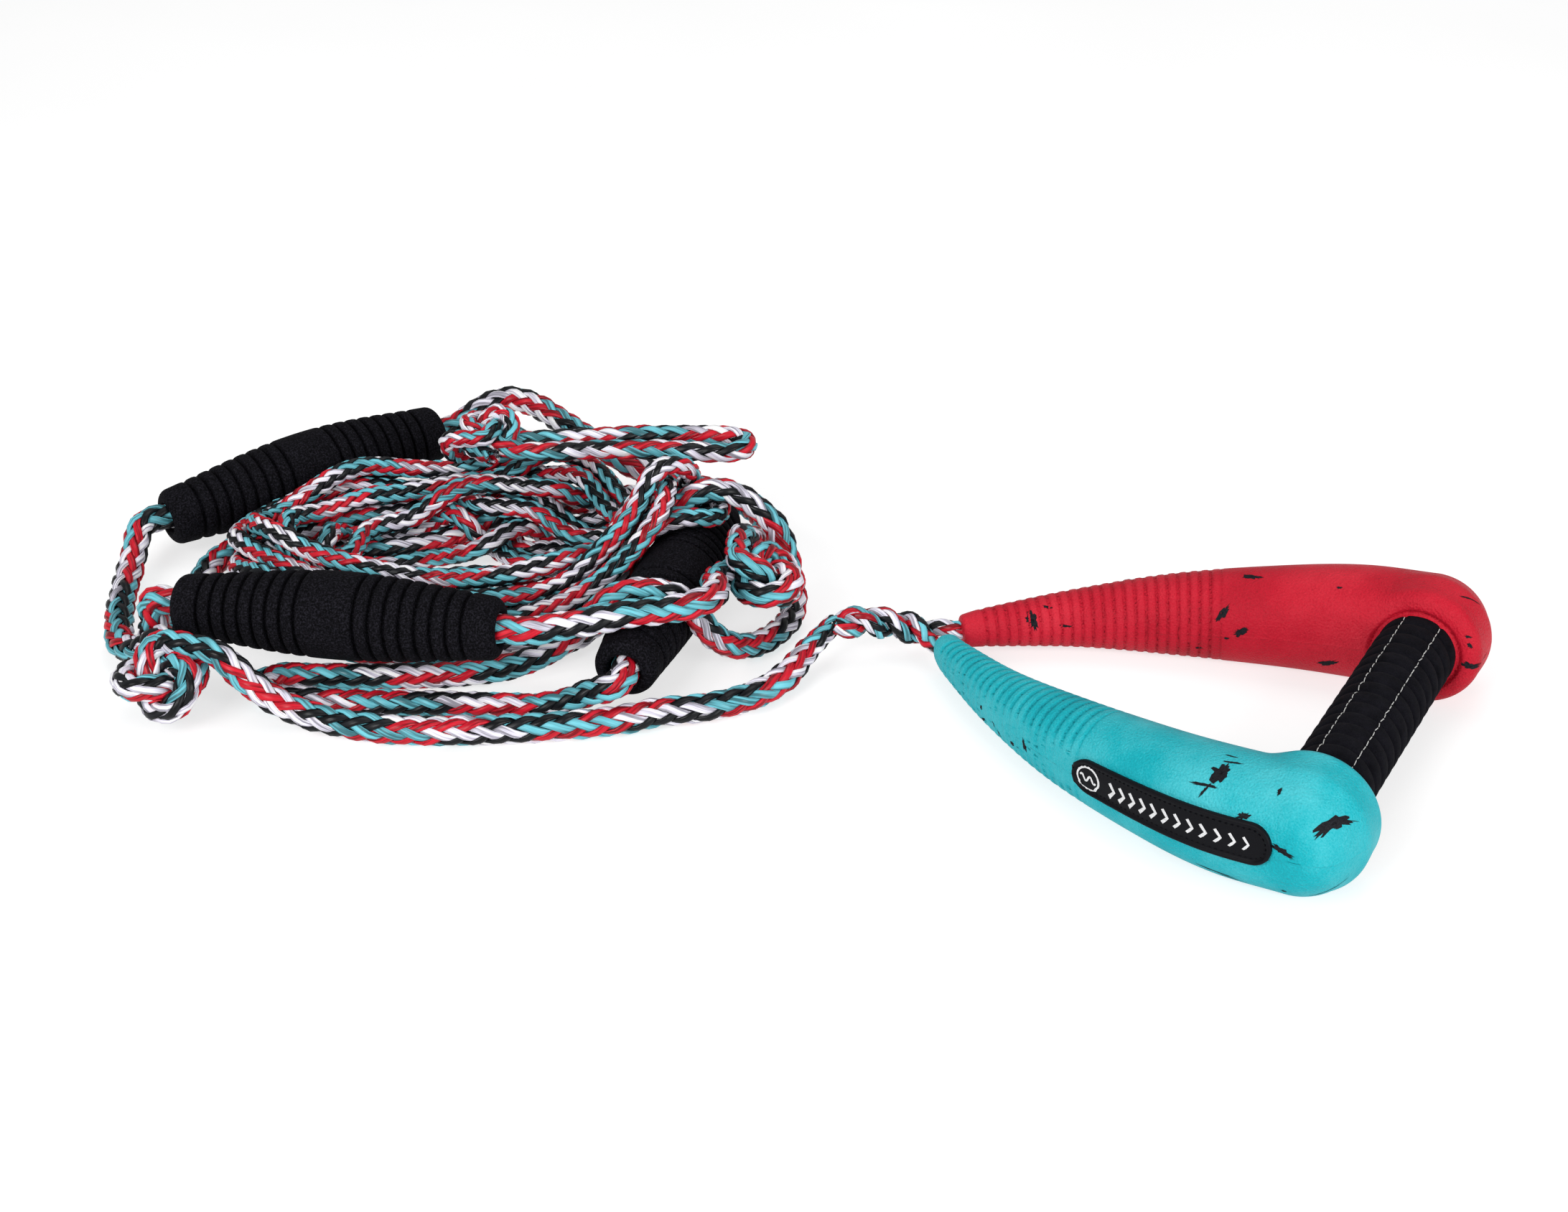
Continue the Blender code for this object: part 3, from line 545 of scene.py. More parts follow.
class Braid:
    """A hollow braid round a line, sampled evenly along its turns.  The yarns that turn one
    way are half white and half teal, and those that turn the other way red and black."""

    def __init__(self, line, seed, strands=6, pitch=PITCH):
        self.line = line
        self.strands = strands
        self.seed = seed
        turn_rate = 2 * math.pi / (pitch * line.radii / MM)
        phase = np.concatenate([[0], np.cumsum((turn_rate[1:] + turn_rate[:-1]) / 2)])
        count = int(phase[-1] / (2 * math.pi) * SAMPLES_PER_TURN) + 1
        self.phase = np.linspace(0, phase[-1], count + 1)
        self.places = np.interp(self.phase, phase, np.arange(line.length))
        self.centre, self.radius, self.side, self.up = line.at(self.places)
        self.strand_grids()

    def strand_grids(self):
        """Every yarn as a grid of section points, for the whole line."""
        n = self.strands
        places = self.places
        drift = wander(places, self.seed, 260, 0.35)
        oval = wander(places, self.seed + 1, 110, 0.045)
        self.grids, self.slots, self.along = [], [], []
        for family, colours in ((1, (0, 1)), (-1, (2, 3))):
            for i in range(n):
                angle = family * self.phase + 2 * math.pi * i / n
                over = family * np.cos(n / 2 * angle - math.pi / 4)
                loose = wander(places, self.seed + 40 + i + 20 * family, 34, 0.030)
                slip = wander(places, self.seed + 90 + i + 20 * family, 47, 0.045)
                turned = angle + drift + slip
                reach = self.radius * (YARN_CENTRE + YARN_WAVE * over + loose)
                out = (np.cos(turned) * (1 + oval))[:, None] * self.side
                out = out + (np.sin(turned) * (1 - oval))[:, None] * self.up
                centre = self.centre + reach[:, None] * out
                self.grids.append(self.section(centre, unit(out), over))
                self.slots.append(colours[2 * i // n])
                step = np.linalg.norm(np.diff(centre, axis=0), axis=1)
                self.along.append(np.concatenate([[0], np.cumsum(step)]) + 0.37 * len(self.grids))

    def section(self, centre, out, over):
        tangent = unit(np.gradient(centre, axis=0))
        across = unit(np.cross(tangent, out))
        out = np.cross(across, tangent)
        scale = self.radius * 6 / self.strands
        wide = scale * YARN_HALF_WIDTH * (1 + 0.10 * over)
        thick = self.radius * YARN_HALF_THICK * (1 + 0.12 * over) * (6 / self.strands) ** 0.5
        turn = 2 * math.pi * (np.arange(SECTION_SIDES) + 0.5) / SECTION_SIDES
        x, y = np.cos(turn)[:, None], np.sin(turn)[:, None]
        y = np.sign(y) * np.abs(y) ** 0.8
        wide, thick = wide[:, None, None] * x, thick[:, None, None] * y
        return centre[:, None] + wide * across[:, None] + thick * out[:, None]

    def piece(self, name, low, high, mats):
        """One object from the yarns between two sample numbers, both included."""
        grids = [grid[low:high + 1] for grid in self.grids]
        faces = band_faces(len(grids[0]), SECTION_SIDES)
        width = 2.2 * float(self.radius.mean()) * YARN_HALF_WIDTH / SECTION_SIDES
        uvs = [tube_uv(faces, SECTION_SIDES, along[low:high + 1], width) for along in self.along]
        points, quads = merged([(grid.reshape(-1, 3), faces) for grid in grids])
        slots = np.repeat(self.slots, len(faces))
        return new_mesh(name, points, quads, mats, slots, np.vstack(uvs))

    def sample_near(self, place_mm):
        return int(np.argmin(np.abs(self.places - place_mm)))


# ---- the rope, piece by piece

def drop_caps(points, radii):
    """Leaves out the small rings that round a packed tube's end."""
    while radii[0] < 0.9 * radii[1] or radii[1] < 0.9 * radii[2]:
        points, radii = points[1:], radii[1:]
    while radii[-1] < 0.9 * radii[-2] or radii[-2] < 0.9 * radii[-3]:
        points, radii = points[:-1], radii[:-1]
    return points, radii


def fuller_knots(radii, knot_below, knot_radius, floor_radius):
    """Knots are squeezed in the part; here they take nearly the rope's own width."""
    return np.where(radii < knot_below, knot_radius, np.maximum(radii, floor_radius))


def rope_line(nodes, hinge):
    """One line from the swing hinge through the lead, the floats and the coil."""
    lead, _ = towards(*drop_caps(*tube_line(nodes["lead_rope"])), hinge["handle_swing"])
    outer, outer_r = towards(*tube_line(nodes["float_line"]), hinge["lead_swing"])
    inner, inner_r = towards(*tube_line(nodes["main_line"]), outer[-1])
    lead_r = np.full(len(lead), THICK_R)
    outer_r = fuller_knots(outer_r, 5.4 * MM, 5.9 * MM, 5.9 * MM)
    inner_r = fuller_knots(inner_r, 4.2 * MM, 4.4 * MM, THIN_R)
    return np.vstack([lead, outer, inner]), np.concatenate([lead_r, outer_r, inner_r])


def rope_pieces(nodes, hinge, yarns):
    points, radii = rope_line(nodes, hinge)
    swing = hinge["handle_swing"]
    way = unit(swing - points[1])
    line = Line(np.vstack([swing + way * 5 * MM, points]),
                np.concatenate([[4.6 * MM, 5.4 * MM], radii[1:]]))
    braid = Braid(line, 4, strands=8)
    at_swing = line.nearest(swing)
    at_lead = line.nearest(hinge["lead_swing"])
    cut = [0, *(braid.sample_near(at) for at in (
        at_swing + BEND_PIECE, at_lead - BEND_PIECE, at_lead + BEND_PIECE))]
    bend_along(braid.piece("rope_swing_bend", cut[0], cut[1], yarns))
    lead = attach(braid.piece("rope_lead", cut[1], cut[2], yarns), "lead")
    stand_in(lead, "lead_rope", "thick_rope")
    bend_along(braid.piece("rope_lead_bend", cut[2], cut[3], yarns))
    ends = np.linspace(cut[3], len(braid.places) - 1, 7).astype(int)
    for k, (low, high) in enumerate(zip(ends, ends[1:])):
        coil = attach(braid.piece(f"rope_coil_{k + 1}", low, high, yarns), "root")
        stand_in(coil, *(("float_line", "thick_rope") if k < 2 else ("main_line", "thin_rope")))


def stand_in(obj, node, slot):
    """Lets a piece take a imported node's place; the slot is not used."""
    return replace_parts(obj, node)


def bend_piece(obj):
    """Bakes the transform of a piece that lies between two bodies into its mesh."""
    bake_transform(obj)


def bend_along(obj):
    """Bakes the transform of a piece that runs from one body to the next over a short stretch of
    its line.
    """
    bend_piece(obj)


def twisted_leg(splice, turn_sign, turns=1.6):
    """One bridle leg, laid round the splice's centre line together with its twin."""
    length = len(splice)
    tangent = unit(np.gradient(splice, axis=0))
    side = unit(np.cross((0, 0, 1.0), tangent))
    up = np.cross(tangent, side)
    share = np.linspace(0, 1, length)
    angle = 2 * math.pi * turns * (share - 1)
    reach = np.interp(share, [0, 0.15, 0.85, 1], [2.0, 3.5, 3.5, 4.4]) * MM * turn_sign
    return splice + (reach * np.cos(angle))[:, None] * side + (reach * np.sin(angle))[:, None] * up


def bridle_pieces(nodes, hinge, yarns, handle):
    """The bridle: one thinner braid through both arms and the bar, with its two legs
    twisted together between the yoke and the lead."""
    swing = hinge["handle_swing"]
    yoke = np.array(handle.translation)
    heading = np.array(handle.to_3x3() @ Vector((1, 0, 0)))
    red_side = np.array(handle @ Vector((0, 5 * MM, 0)))
    splice, _ = towards(*drop_caps(*tube_line(nodes["bridle_splice"])), swing)
    splice = Line(splice, np.full(len(splice), LEG_R), LEG_BLUR)
    inside, _ = towards(*drop_caps(*tube_line(nodes["bridle_rope"])), red_side)
    way = splice.points[::3]
    points = np.vstack([twisted_leg(way, 1), inside[1:-1], twisted_leg(way, -1)[::-1]])
    line = Line(points, np.full(len(points), LEG_R), LEG_BLUR)
    braid = Braid(line, 31, pitch=LEG_PITCH)
    along = (line.points - yoke) @ heading
    from_swing = np.linalg.norm(line.points - swing, axis=1)
    half = line.length // 2
    inner_ends = []
    for name, start, order in (("red", 0, range(half)),
                               ("teal", len(braid.places) - 1, range(line.length - 1, half, -1))):
        bend = next(i for i in order if from_swing[i] > 13 * MM and along[i] < 0)
        near = next(i for i in order if along[i] > -8.5 * MM)
        far = next(i for i in order if along[i] > 9 * MM)
        bend, near, far = (braid.sample_near(i) for i in (bend, near, far))
        root = braid.piece(f"leg_{name}_start", *sorted((start, bend)), yarns)
        bend_piece(root)
        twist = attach(braid.piece(f"leg_{name}_twist", *sorted((bend, near)), yarns), "splice")
        stand_in(twist, "bridle_splice", "thin_rope")
        tip = braid.piece(f"leg_{name}_end", *sorted((near, far)), yarns)
        bend_piece(tip)
        inner_ends.append(far)
    inner = braid.piece("bridle_inside", *inner_ends, yarns)
    stand_in(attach(inner, "handle"), "bridle_rope", "thin_rope")


def loop_pieces(nodes, hinge, yarns):
    """The boat loop: both strands come out of the loop's knot and meet at the tip."""
    points, _ = tube_line(nodes["boat_loop"])
    h = hinge["loop_lift"]
    first, last = points[0], points[-1]
    knot = h + np.array((-16, 1.0, 2.5)) * MM
    start = [knot + (first - h) * 0.25, h + (first - h) * np.array((0, 0.75, 1)) - (6 * MM, 0, 0)]
    finish = [h + (last - h) * np.array((0, 0.75, 1)) - (6 * MM, 0, 0), knot + (last - h) * 0.25]
    points = np.vstack([start, points, finish])
    line = Line(points, np.full(len(points), THIN_R - 0.1 * MM))
    braid = Braid(line, 52)
    count = len(braid.places) - 1
    low = braid.sample_near(LOOP_BEND)
    high = braid.sample_near(line.length - 1 - LOOP_BEND)
    for name, a, b in (("loop_bend_far", 0, low), ("loop_bend_near", high, count)):
        bend_piece(braid.piece(name, a, b, yarns))
    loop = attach(braid.piece("boat_loop_braid", low, high, yarns), "loop")
    stand_in(loop, "boat_loop", "thin_rope")


# ---- floats

def float_radius(x):
    """The float's outline without its grooves, x in millimetres from its middle."""
    bulge = np.cos(np.clip(x / FLOAT_HALF, -1, 1) * math.pi / 2) ** 1.3
    edge = np.clip((np.abs(x) - FLOAT_HALF + FLOAT_EDGE) / FLOAT_EDGE, 0, 1)
    return FLOAT_END_R + FLOAT_BULGE * bulge - FLOAT_EDGE * (1 - np.sqrt(1 - edge ** 2))


def float_profile():
    """(x, radius) stations in millimetres, close together at each groove."""
    beside = (0.6, 0.75, 0.9, 1.15, 1.6, 2.4)
    x = [0.0, 3, 6, 9]
    for g in GROOVES:
        x += [g - away for away in beside[::-1]] + [g] + [g + away for away in beside]
    x += [62.5, 64.5, 66.5, 67.6, 68.5, 69.2, 69.7, 69.95, 70.0]
    x = np.array(x)
    radius = float_radius(x)
    for g in GROOVES:
        away = np.abs(x - g)
        radius = radius - 2.3 * np.clip((0.92 - away) / 0.30, 0, 1) ** 0.8
        radius = radius - 0.45 * np.exp(-(np.clip(away - 0.8, 0, 9) / 0.7) ** 2)
    x = np.concatenate([-x[:0:-1], x])
    radius = np.concatenate([radius[:0:-1], radius])
    mouth = np.array([[70.2, 8.6], [70.0, 7.6], [69.2, 7.0], [66, FLOAT_BORE_R],
                      [0, FLOAT_BORE_R]])
    left = mouth[::-1] * (-1, 1)
    return np.vstack([left[1:], np.stack([x, radius], axis=1), mouth])


def node_axis(node):
    """Middle and long axis of a packed turned solid."""
    points, _ = welded(node)
    middle = points.mean(axis=0)
    _, _, rows = np.linalg.svd(points - middle, full_matrices=False)
    return middle, rows[0]


def float_piece(name, node, mat, sag_mm):
    """A grooved float, a little dented and bent, as a turned grid along the node's axis."""
    middle, axis = node_axis(node)
    if axis[0] < 0:
        axis = -axis
    side = unit(np.cross((0, 0, 1.0), axis))
    up = np.cross(axis, side)
    profile = float_profile()
    angles = np.arange(FLOAT_SIDES) * 2 * math.pi / FLOAT_SIDES
    x, radius, angles = np.broadcast_arrays(profile[:, [0]], profile[:, [1]], angles)
    a, b = np.random.default_rng(FLOAT_SEED).uniform(0, 6.28, 2)
    dent = 1 + 0.010 * np.sin(2 * angles + a + x * 0.03) + 0.006 * np.sin(3 * angles + b - x * 0.05)
    sag = sag_mm * (1 - (x / FLOAT_HALF) ** 2 * 1.6)
    y = radius * dent * np.cos(angles)
    z = radius * dent * np.sin(angles) + sag
    points = middle + MM * (x[..., None] * axis + y[..., None] * side + z[..., None] * up)
    faces = band_faces(len(profile), FLOAT_SIDES)[:, ::-1]
    return new_mesh(name, points.reshape(-1, 3), faces, [mat])


def build_floats(nodes, foam):
    for name, sag in (("left", 0.8), ("front", 0.3), ("right", 0.0)):
        node = nodes[f"float_{name}"]
        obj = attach(float_piece(f"foam_float_{name}", node, foam, sag), f"{name}_float")
        stand_in(obj, node.name, "float_foam")


# ---- arms, as a smooth field

def spine_table(count=170):
    """Stations along an arm's spine: places in the handle plane, ways, radii and lengths."""
    table = np.array(ARM_SPINE, float)
    padded = np.vstack([2 * table[0] - table[1], table, 2 * table[-1] - table[-2]])
    x = np.linspace(0, len(table) - 1, count)
    i = np.minimum(x.astype(int), len(table) - 2)
    f = (x - i)[:, None]
    a, b, c, d = (padded[i + k] for k in range(4))
    out = 0.5 * (2 * b + (c - a) * f + (2 * a - 5 * b + 4 * c - d) * f ** 2
                 + (3 * b - a - 3 * c + d) * f ** 3)
    centre, radius = out[:, :2], out[:, 2]
    way = unit(np.gradient(centre, axis=0))
    length = np.concatenate([[0], np.cumsum(np.linalg.norm(np.diff(centre, axis=0), axis=1))])
    return centre, way, radius, length


def smooth_least(a, b, width):
    """The smaller of two fields, rounded where they meet."""
    h = np.clip(0.5 + 0.5 * (b - a) / width, 0, 1)
    return b * (1 - h) + a * h - width * h * (1 - h)


def smooth_most(a, b, width):
    return -smooth_least(-a, -b, width)


def bead(along):
    """1 on top of a rib and 0 in the groove between two."""
    share = along / RIB_PITCH % 1.0
    return 1 - np.abs(2 * share - 1) ** 3.6


def rib_mask(along, across):
    """Where the ribs stand: from the tip to the badge, weaker on the inner side."""
    ends = np.clip((along - 5) / 3, 0, 1) * np.clip((RIB_END - along) / 5, 0, 1)
    return ends * (0.85 + 0.15 * across)


class ArmField:
    """Signed distance, in millimetres, to one arm's skin in the handle's frame."""

    def __init__(self, side_sign):
        self.side_sign = side_sign
        self.centre, self.way, self.radius, self.length = spine_table()

    def parted(self, points):
        """U, V and W of points, with V turned to the red arm's side."""
        return points[:, 0], points[:, 1] * self.side_sign, points[:, 2]

    def station(self, points):
        """The number of the spine's sphere that each point is nearest to."""
        u, v, w = self.parted(points)
        best = np.full(len(points), 1e9)
        at = np.zeros(len(points), int)
        for k, (cu, cv) in enumerate(self.centre):
            gap = np.sqrt((u - cu) ** 2 + (v - cv) ** 2 + w ** 2) - self.radius[k]
            at[gap < best] = k
            best = np.minimum(best, gap)
        return at

    def body(self, points, k):
        """The ribbed arm alone: its distance, and how deep in a groove each point is, which also
        sets the painted shade in the foam's colour.
        """
        u, v, w = self.parted(points)
        reach_u, reach_v = u - self.centre[k, 0], v - self.centre[k, 1]
        ahead = reach_u * self.way[k, 0] + reach_v * self.way[k, 1]
        out = -reach_u * self.way[k, 1] + reach_v * self.way[k, 0]
        radius = self.radius[k]
        gap = np.sqrt(reach_u ** 2 + reach_v ** 2 + w ** 2) - radius
        along = self.length[k] + np.clip(ahead, -6, 6)
        groove = (1 - bead(along)) * rib_mask(along, np.clip(out / radius, -1, 1))
        flat = smooth_most(gap, out - FLAT_SIDE * radius, 4.0)
        parting = np.exp(-(w / 0.55) ** 2) * np.clip((self.length[k] - 60) / 20, 0, 1)
        return flat + RIB_HEIGHT * groove - PARTING_LINE * parting, groove

    def distance(self, points, k=None):
        k = self.station(points) if k is None else k
        body, _ = self.body(points, k)
        u, v, w = self.parted(points)
        tip = self.centre[0] - self.way[0]
        cut = -((u - tip[0]) * self.way[0, 0] + (v - tip[1]) * self.way[0, 1])
        body = smooth_most(body, cut, 2.0)
        q = np.hypot(u - BAR_U, w)
        a = q - (COLLAR_R - COLLAR_ROUND)
        b = np.abs(v - COLLAR_MIDDLE) - (COLLAR_MIDDLE - COLLAR_END - COLLAR_ROUND)
        collar = np.hypot(np.maximum(a, 0), np.maximum(b, 0)) + np.minimum(np.maximum(a, b), 0)
        both = smooth_least(body, collar - COLLAR_ROUND, COLLAR_BLEND)
        ring = np.exp(-((q - GRIP_R - 0.8) / 1.3) ** 2) * np.clip((70 - v) / 4, 0, 1)
        height = YOKE_Z + u * math.sin(TILT) + w * math.cos(TILT)
        return smooth_most(both + 1.6 * ring, 0.1 - height, 1.2)

    def slope(self, points):
        k = self.station(points)
        out = np.empty_like(points)
        for axis in range(3):
            shift = np.zeros(3)
            shift[axis] = SLOPE_STEP
            out[:, axis] = self.distance(points + shift, k) - self.distance(points - shift, k)
        return unit(out)

    def skin(self, along, angle, lift=0.0):
        """Points on the skin at a length along the arm and an angle round its section,
        0 facing outwards and 90 degrees up, and the way out of the skin there."""
        angle = np.radians(angle)
        way = unit(read_rows(along, self.length, self.way))
        past_end = along - np.clip(along, 0, self.length[-1])
        centre = read_rows(along, self.length, self.centre) + way * past_end[:, None]
        mirror = (1, self.side_sign, 1)
        start = np.column_stack([centre, 0 * angle]) * mirror
        out = np.stack([-way[:, 1] * np.cos(angle), way[:, 0] * np.cos(angle),
                        np.sin(angle)], axis=1) * mirror
        low, high = np.zeros(len(start)), np.full(len(start), FARTHEST_SKIN)
        for _ in range(SKIN_HALVINGS):
            middle = (low + high) / 2
            inside = self.distance(start + out * middle[:, None]) < 0
            low, high = np.where(inside, middle, low), np.where(inside, high, middle)
        points = start + out * low[:, None]
        normal = self.slope(points)
        return points + normal * lift, normal


def section_ring(u, v, way, reach, sides=28):
    """A ring of handle points round (u, v), square to a way in the handle's plane."""
    angles = np.arange(sides) * 2 * math.pi / sides
    return np.stack([u - way[1] * reach * np.cos(angles), v + way[0] * reach * np.cos(angles),
                     reach * np.sin(angles)], axis=1)


def closed_tube(rings, first):
    """Points and faces of a tube through rings, with a fan on a pole at each end."""
    count, sides = len(rings), len(rings[0])
    poles = np.array([rings[0].mean(axis=0), rings[-1].mean(axis=0)])
    quads = [band_faces(count, sides, first)[:, ::-1]]
    for end, start in enumerate((0, (count - 1) * sides)):
        ring = first + start + np.arange(sides)
        fan = [ring, np.roll(ring, -1)]
        pole = np.full(sides, first + count * sides + end)
        quads.append(np.stack([*(fan if end == 0 else fan[::-1]), pole, pole], axis=1))
    return np.vstack([*rings, poles]), np.vstack(quads)


def rough_arm(field):
    """A coarse closed skin just round the arm and its collar, for the even remesh."""
    stations = [*range(0, len(field.centre), 5), len(field.centre) - 1]
    rings = [section_ring(*field.centre[k], field.way[k], field.radius[k]) for k in stations]
    end, radius, way = field.centre[-1], field.radius[-1], field.way[-1]
    for turn in np.radians((20, 40, 60, 78, 88)):
        place = end + way * radius * math.sin(turn)
        rings.append(section_ring(*place, way, radius * math.cos(turn)))
    collar = [section_ring(BAR_U, v, (0, 1), r) for v, r in ROUGH_COLLAR]
    arm_points, arm_quads = closed_tube(rings, 0)
    collar_points, collar_quads = closed_tube(collar, len(arm_points))
    return np.vstack([arm_points, collar_points]), np.vstack([arm_quads, collar_quads])


def even_skin(points, quads, voxel):
    """The outer skin of overlapping closed shells, in small even quads."""
    obj = new_mesh("rough", points, quads, [])
    modifier = obj.modifiers.new("even", "REMESH")
    modifier.mode = "VOXEL"
    modifier.voxel_size = voxel
    done = obj.evaluated_get(bpy.context.evaluated_depsgraph_get()).to_mesh()
    out = np.empty(len(done.vertices) * 3)
    done.vertices.foreach_get("co", out)
    faces = np.empty(len(done.loops), np.int32)
    done.loops.foreach_get("vertex_index", faces)
    bpy.data.objects.remove(obj)
    return out.reshape(-1, 3), faces.reshape(-1, 4)


def arm_piece(name, field, mat, handle):
    rough, quads = rough_arm(field)
    rough[:, 1] *= field.side_sign
    if field.side_sign < 0:
        quads = quads[:, ::-1]
    points, quads = even_skin(rough, quads, VOXEL)
    for _ in range(PULL_ROUNDS):
        normal = field.slope(points)
        points -= normal * np.clip(field.distance(points), -1.5, 1.5)[:, None] * 0.9
    normal = field.slope(points)
    _, groove = field.body(points, field.station(points))
    obj = new_mesh(name, points * MM, quads, [mat], normals=normal)
    # how deep in a groove each point is, kept as the mask for the painted shade in the foam's
    # colour
    attribute = obj.data.attributes.new("groove", "FLOAT", "POINT")
    attribute.data.foreach_set("value", groove.astype(np.float32))
    return place_on_handle(obj, handle)


def place_on_handle(obj, handle):
    obj.data.transform(handle)
    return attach(obj, "handle")


def handle_mesh(name, points, faces, mat, handle, *layers):
    """A mesh that rides the handle, from points in millimetres in the handle's frame."""
    return place_on_handle(new_mesh(name, points * MM, faces, [mat], *layers), handle)


def patch(field, start, edge):
    """Points and faces of one thin painted patch.  The start is (length along the arm, angle)
    and the edge's rows are (along, round) in millimetres from it."""
    radius = float(np.interp(start[0], field.length, field.radius))
    shares = np.linspace(0, 1, PATCH_RINGS + 1)[1:]
    along = start[0] + shares[:, None] * edge[:, 0]
    angle = start[1] + shares[:, None] * np.degrees(edge[:, 1] / radius)
    along = np.concatenate([[start[0]], along.ravel()])
    angle = np.concatenate([[start[1]], angle.ravel()])
    points, _ = field.skin(along, angle, PAINT_LIFT)
    ring = 1 + np.arange(len(edge))
    fan = np.stack([0 * ring, ring, np.roll(ring, -1), 0 * ring], axis=1)
    return points, np.vstack([fan, band_faces(PATCH_RINGS, len(edge), 1)])


def fleck_edge(long_mm, wide_mm, lean_deg, rng):
    """The edge of a jagged leaf of paint, longest along lean_deg."""
    turn = np.arange(FLECK_CORNERS) * 2 * math.pi / FLECK_CORNERS
    jag = 1 + 0.34 * rng.uniform(-1, 1, FLECK_CORNERS)
    x = 0.5 * long_mm * jag * np.cos(turn)
    y = 0.5 * wide_mm * jag * np.sin(turn) * (0.55 + 0.45 * np.sin(turn * 0.5 + 0.4) ** 2)
    lean = math.radians(lean_deg)
    return np.stack([x * math.cos(lean) - y * math.sin(lean),
                     x * math.sin(lean) + y * math.cos(lean)], axis=1)


def fleck_piece(name, field, flecks, mat, handle, seed):
    rng = np.random.default_rng(seed)
    points, faces = merged([patch(field, (along, angle), fleck_edge(*shape, rng))
                            for along, angle, *shape in flecks])
    return handle_mesh(name, points, faces, mat, handle)


# Paint flecks: length along the arm and angle round it (0 outwards, 90 up), then
# length, width and lean of the fleck
TEAL_FLECKS = (
    (28, -30, 3, 1.6, 20), (50, 0, 3.2, 3, 60), (50, -30, 4, 2.2, 20), (60, -20, 6, 2.2, 140),
    (72, -22, 7, 2.2, 10), (80, -2, 9, 3.2, 120), (83, -18, 5, 1.0, 110), (170, 66, 8, 8, 90),
    (171, 80, 7, 1.4, 10), (169, 88, 5, 1.0, 0), (166, 50, 9, 1.5, 5), (167, 46, 7, 1.2, 70),
    (192, 62, 3, 1.8, 80), (182, 33, 4.5, 3, 20), (198, 9, 9, 3.6, -25), (213, 50, 19, 5.0, 62),
    (172, -38, 12, 1.0, -5), (178, -42, 9, 0.8, -8), (198, -38, 2, 1.5, 0),
    (212, -50, 10, 0.8, 0), (110, 150, 7, 3, 70), (90, -70, 5, 2, 10), (140, -80, 7, 3, 40),
    (60, 160, 6, 3, 30), (150, 200, 8, 3, 60),
)
RED_FLECKS = (
    (29, 148, 7.5, 5.2, 75), (36, 120, 4, 1.6, 20), (43, 166, 6, 1.2, 10),
    (111, 150, 8.5, 3.4, -50), (119, 172, 6, 3.6, -25), (123, 100, 8, 3, 10),
    (160, 118, 2.2, 1.4, 0), (113, 182, 2, 1.5, 0),
    (101, 202, 3, 1.8, 0), (157, 204, 9, 3.4, -20), (213, 100, 9, 1.1, -40), (217, 160, 3, 2, 60),
    (216, 150, 2.5, 1.5, 0), (218, 188, 8, 4, 30), (72, 60, 5, 3, 40), (150, 45, 8, 3.6, 100),
    (100, 20, 6, 2.6, 20), (205, -20, 9, 4, 50), (60, -30, 5, 2, 90), (90, -60, 6, 3, 10),
)


def stadium(inset, count=96):
    """Outline of the badge, pulled in by an inset, as (along, round) in millimetres."""
    half = BADGE_TALL / 2 - inset
    flat = BADGE_LONG - BADGE_TALL
    side = flat + math.pi * half
    place = np.linspace(0, 2 * side, count, endpoint=False)
    sign = np.where(place < side, 1, -1)
    place = place % side
    turn = math.pi / 2 + np.maximum(place - flat, 0) / half
    x = flat / 2 - np.minimum(place, flat) + half * np.cos(turn)
    return np.stack([x * sign, half * np.sin(turn) * sign], axis=1)


def on_badge(field, flat, lift):
    """Badge coordinates (along, round, in millimetres) and heights to handle points."""
    radius = np.interp(BADGE_MIDDLE, field.length, field.radius)
    along = BADGE_MIDDLE + flat[:, 0]
    angle = BADGE_TURN + np.degrees(flat[:, 1] / radius)
    points, normal = field.skin(along, angle)
    return points + normal * np.broadcast_to(lift, len(points))[:, None]


def badge_piece(name, field, mat, handle):
    """Soft vinyl: a raised, rounded rim round a sunk, even middle."""
    steps = ((0.0, -0.6), (0.0, 1.2), (0.25, 1.75), (0.7, 2.0), (1.3, 2.0), (1.7, 1.7),
             (1.95, 1.25), (3.0, 1.2), (4.6, 1.2), (6.2, 1.2), (7.4, 1.2))
    rings = [on_badge(field, stadium(inset), lift) for inset, lift in steps]
    count = len(rings[0])
    k = np.arange(count // 2 - 1)
    middle = (len(rings) - 1) * count + np.stack([k, k + 1, -k - 2, -k - 1], axis=1) % count
    faces = np.vstack([band_faces(len(rings), count), middle])
    obj = new_mesh(name, np.vstack(rings) * MM, faces, [mat])
    flip_if_inward(obj, field)
    return place_on_handle(obj, handle)


def flip_if_inward(obj, field):
    """Turns a mesh's faces so that most of them look away from the arm's spine."""
    mesh = obj.data
    count = len(mesh.polygons)
    normal, middle = np.empty(count * 3), np.empty(count * 3)
    mesh.polygons.foreach_get("normal", normal)
    mesh.polygons.foreach_get("center", middle)
    middle = middle.reshape(-1, 3) / MM
    out = field.slope(middle)
    if (normal.reshape(-1, 3) * out).sum() < 0:
        mesh.flip_normals()


def ribbon(points, width):
    """Both edges of a flat ribbon along a line of badge coordinates."""
    way = unit(np.gradient(points, axis=0))
    side = np.stack([-way[:, 1], way[:, 0]], axis=1) * width / 2
    return np.stack([points + side, points - side], axis=1)


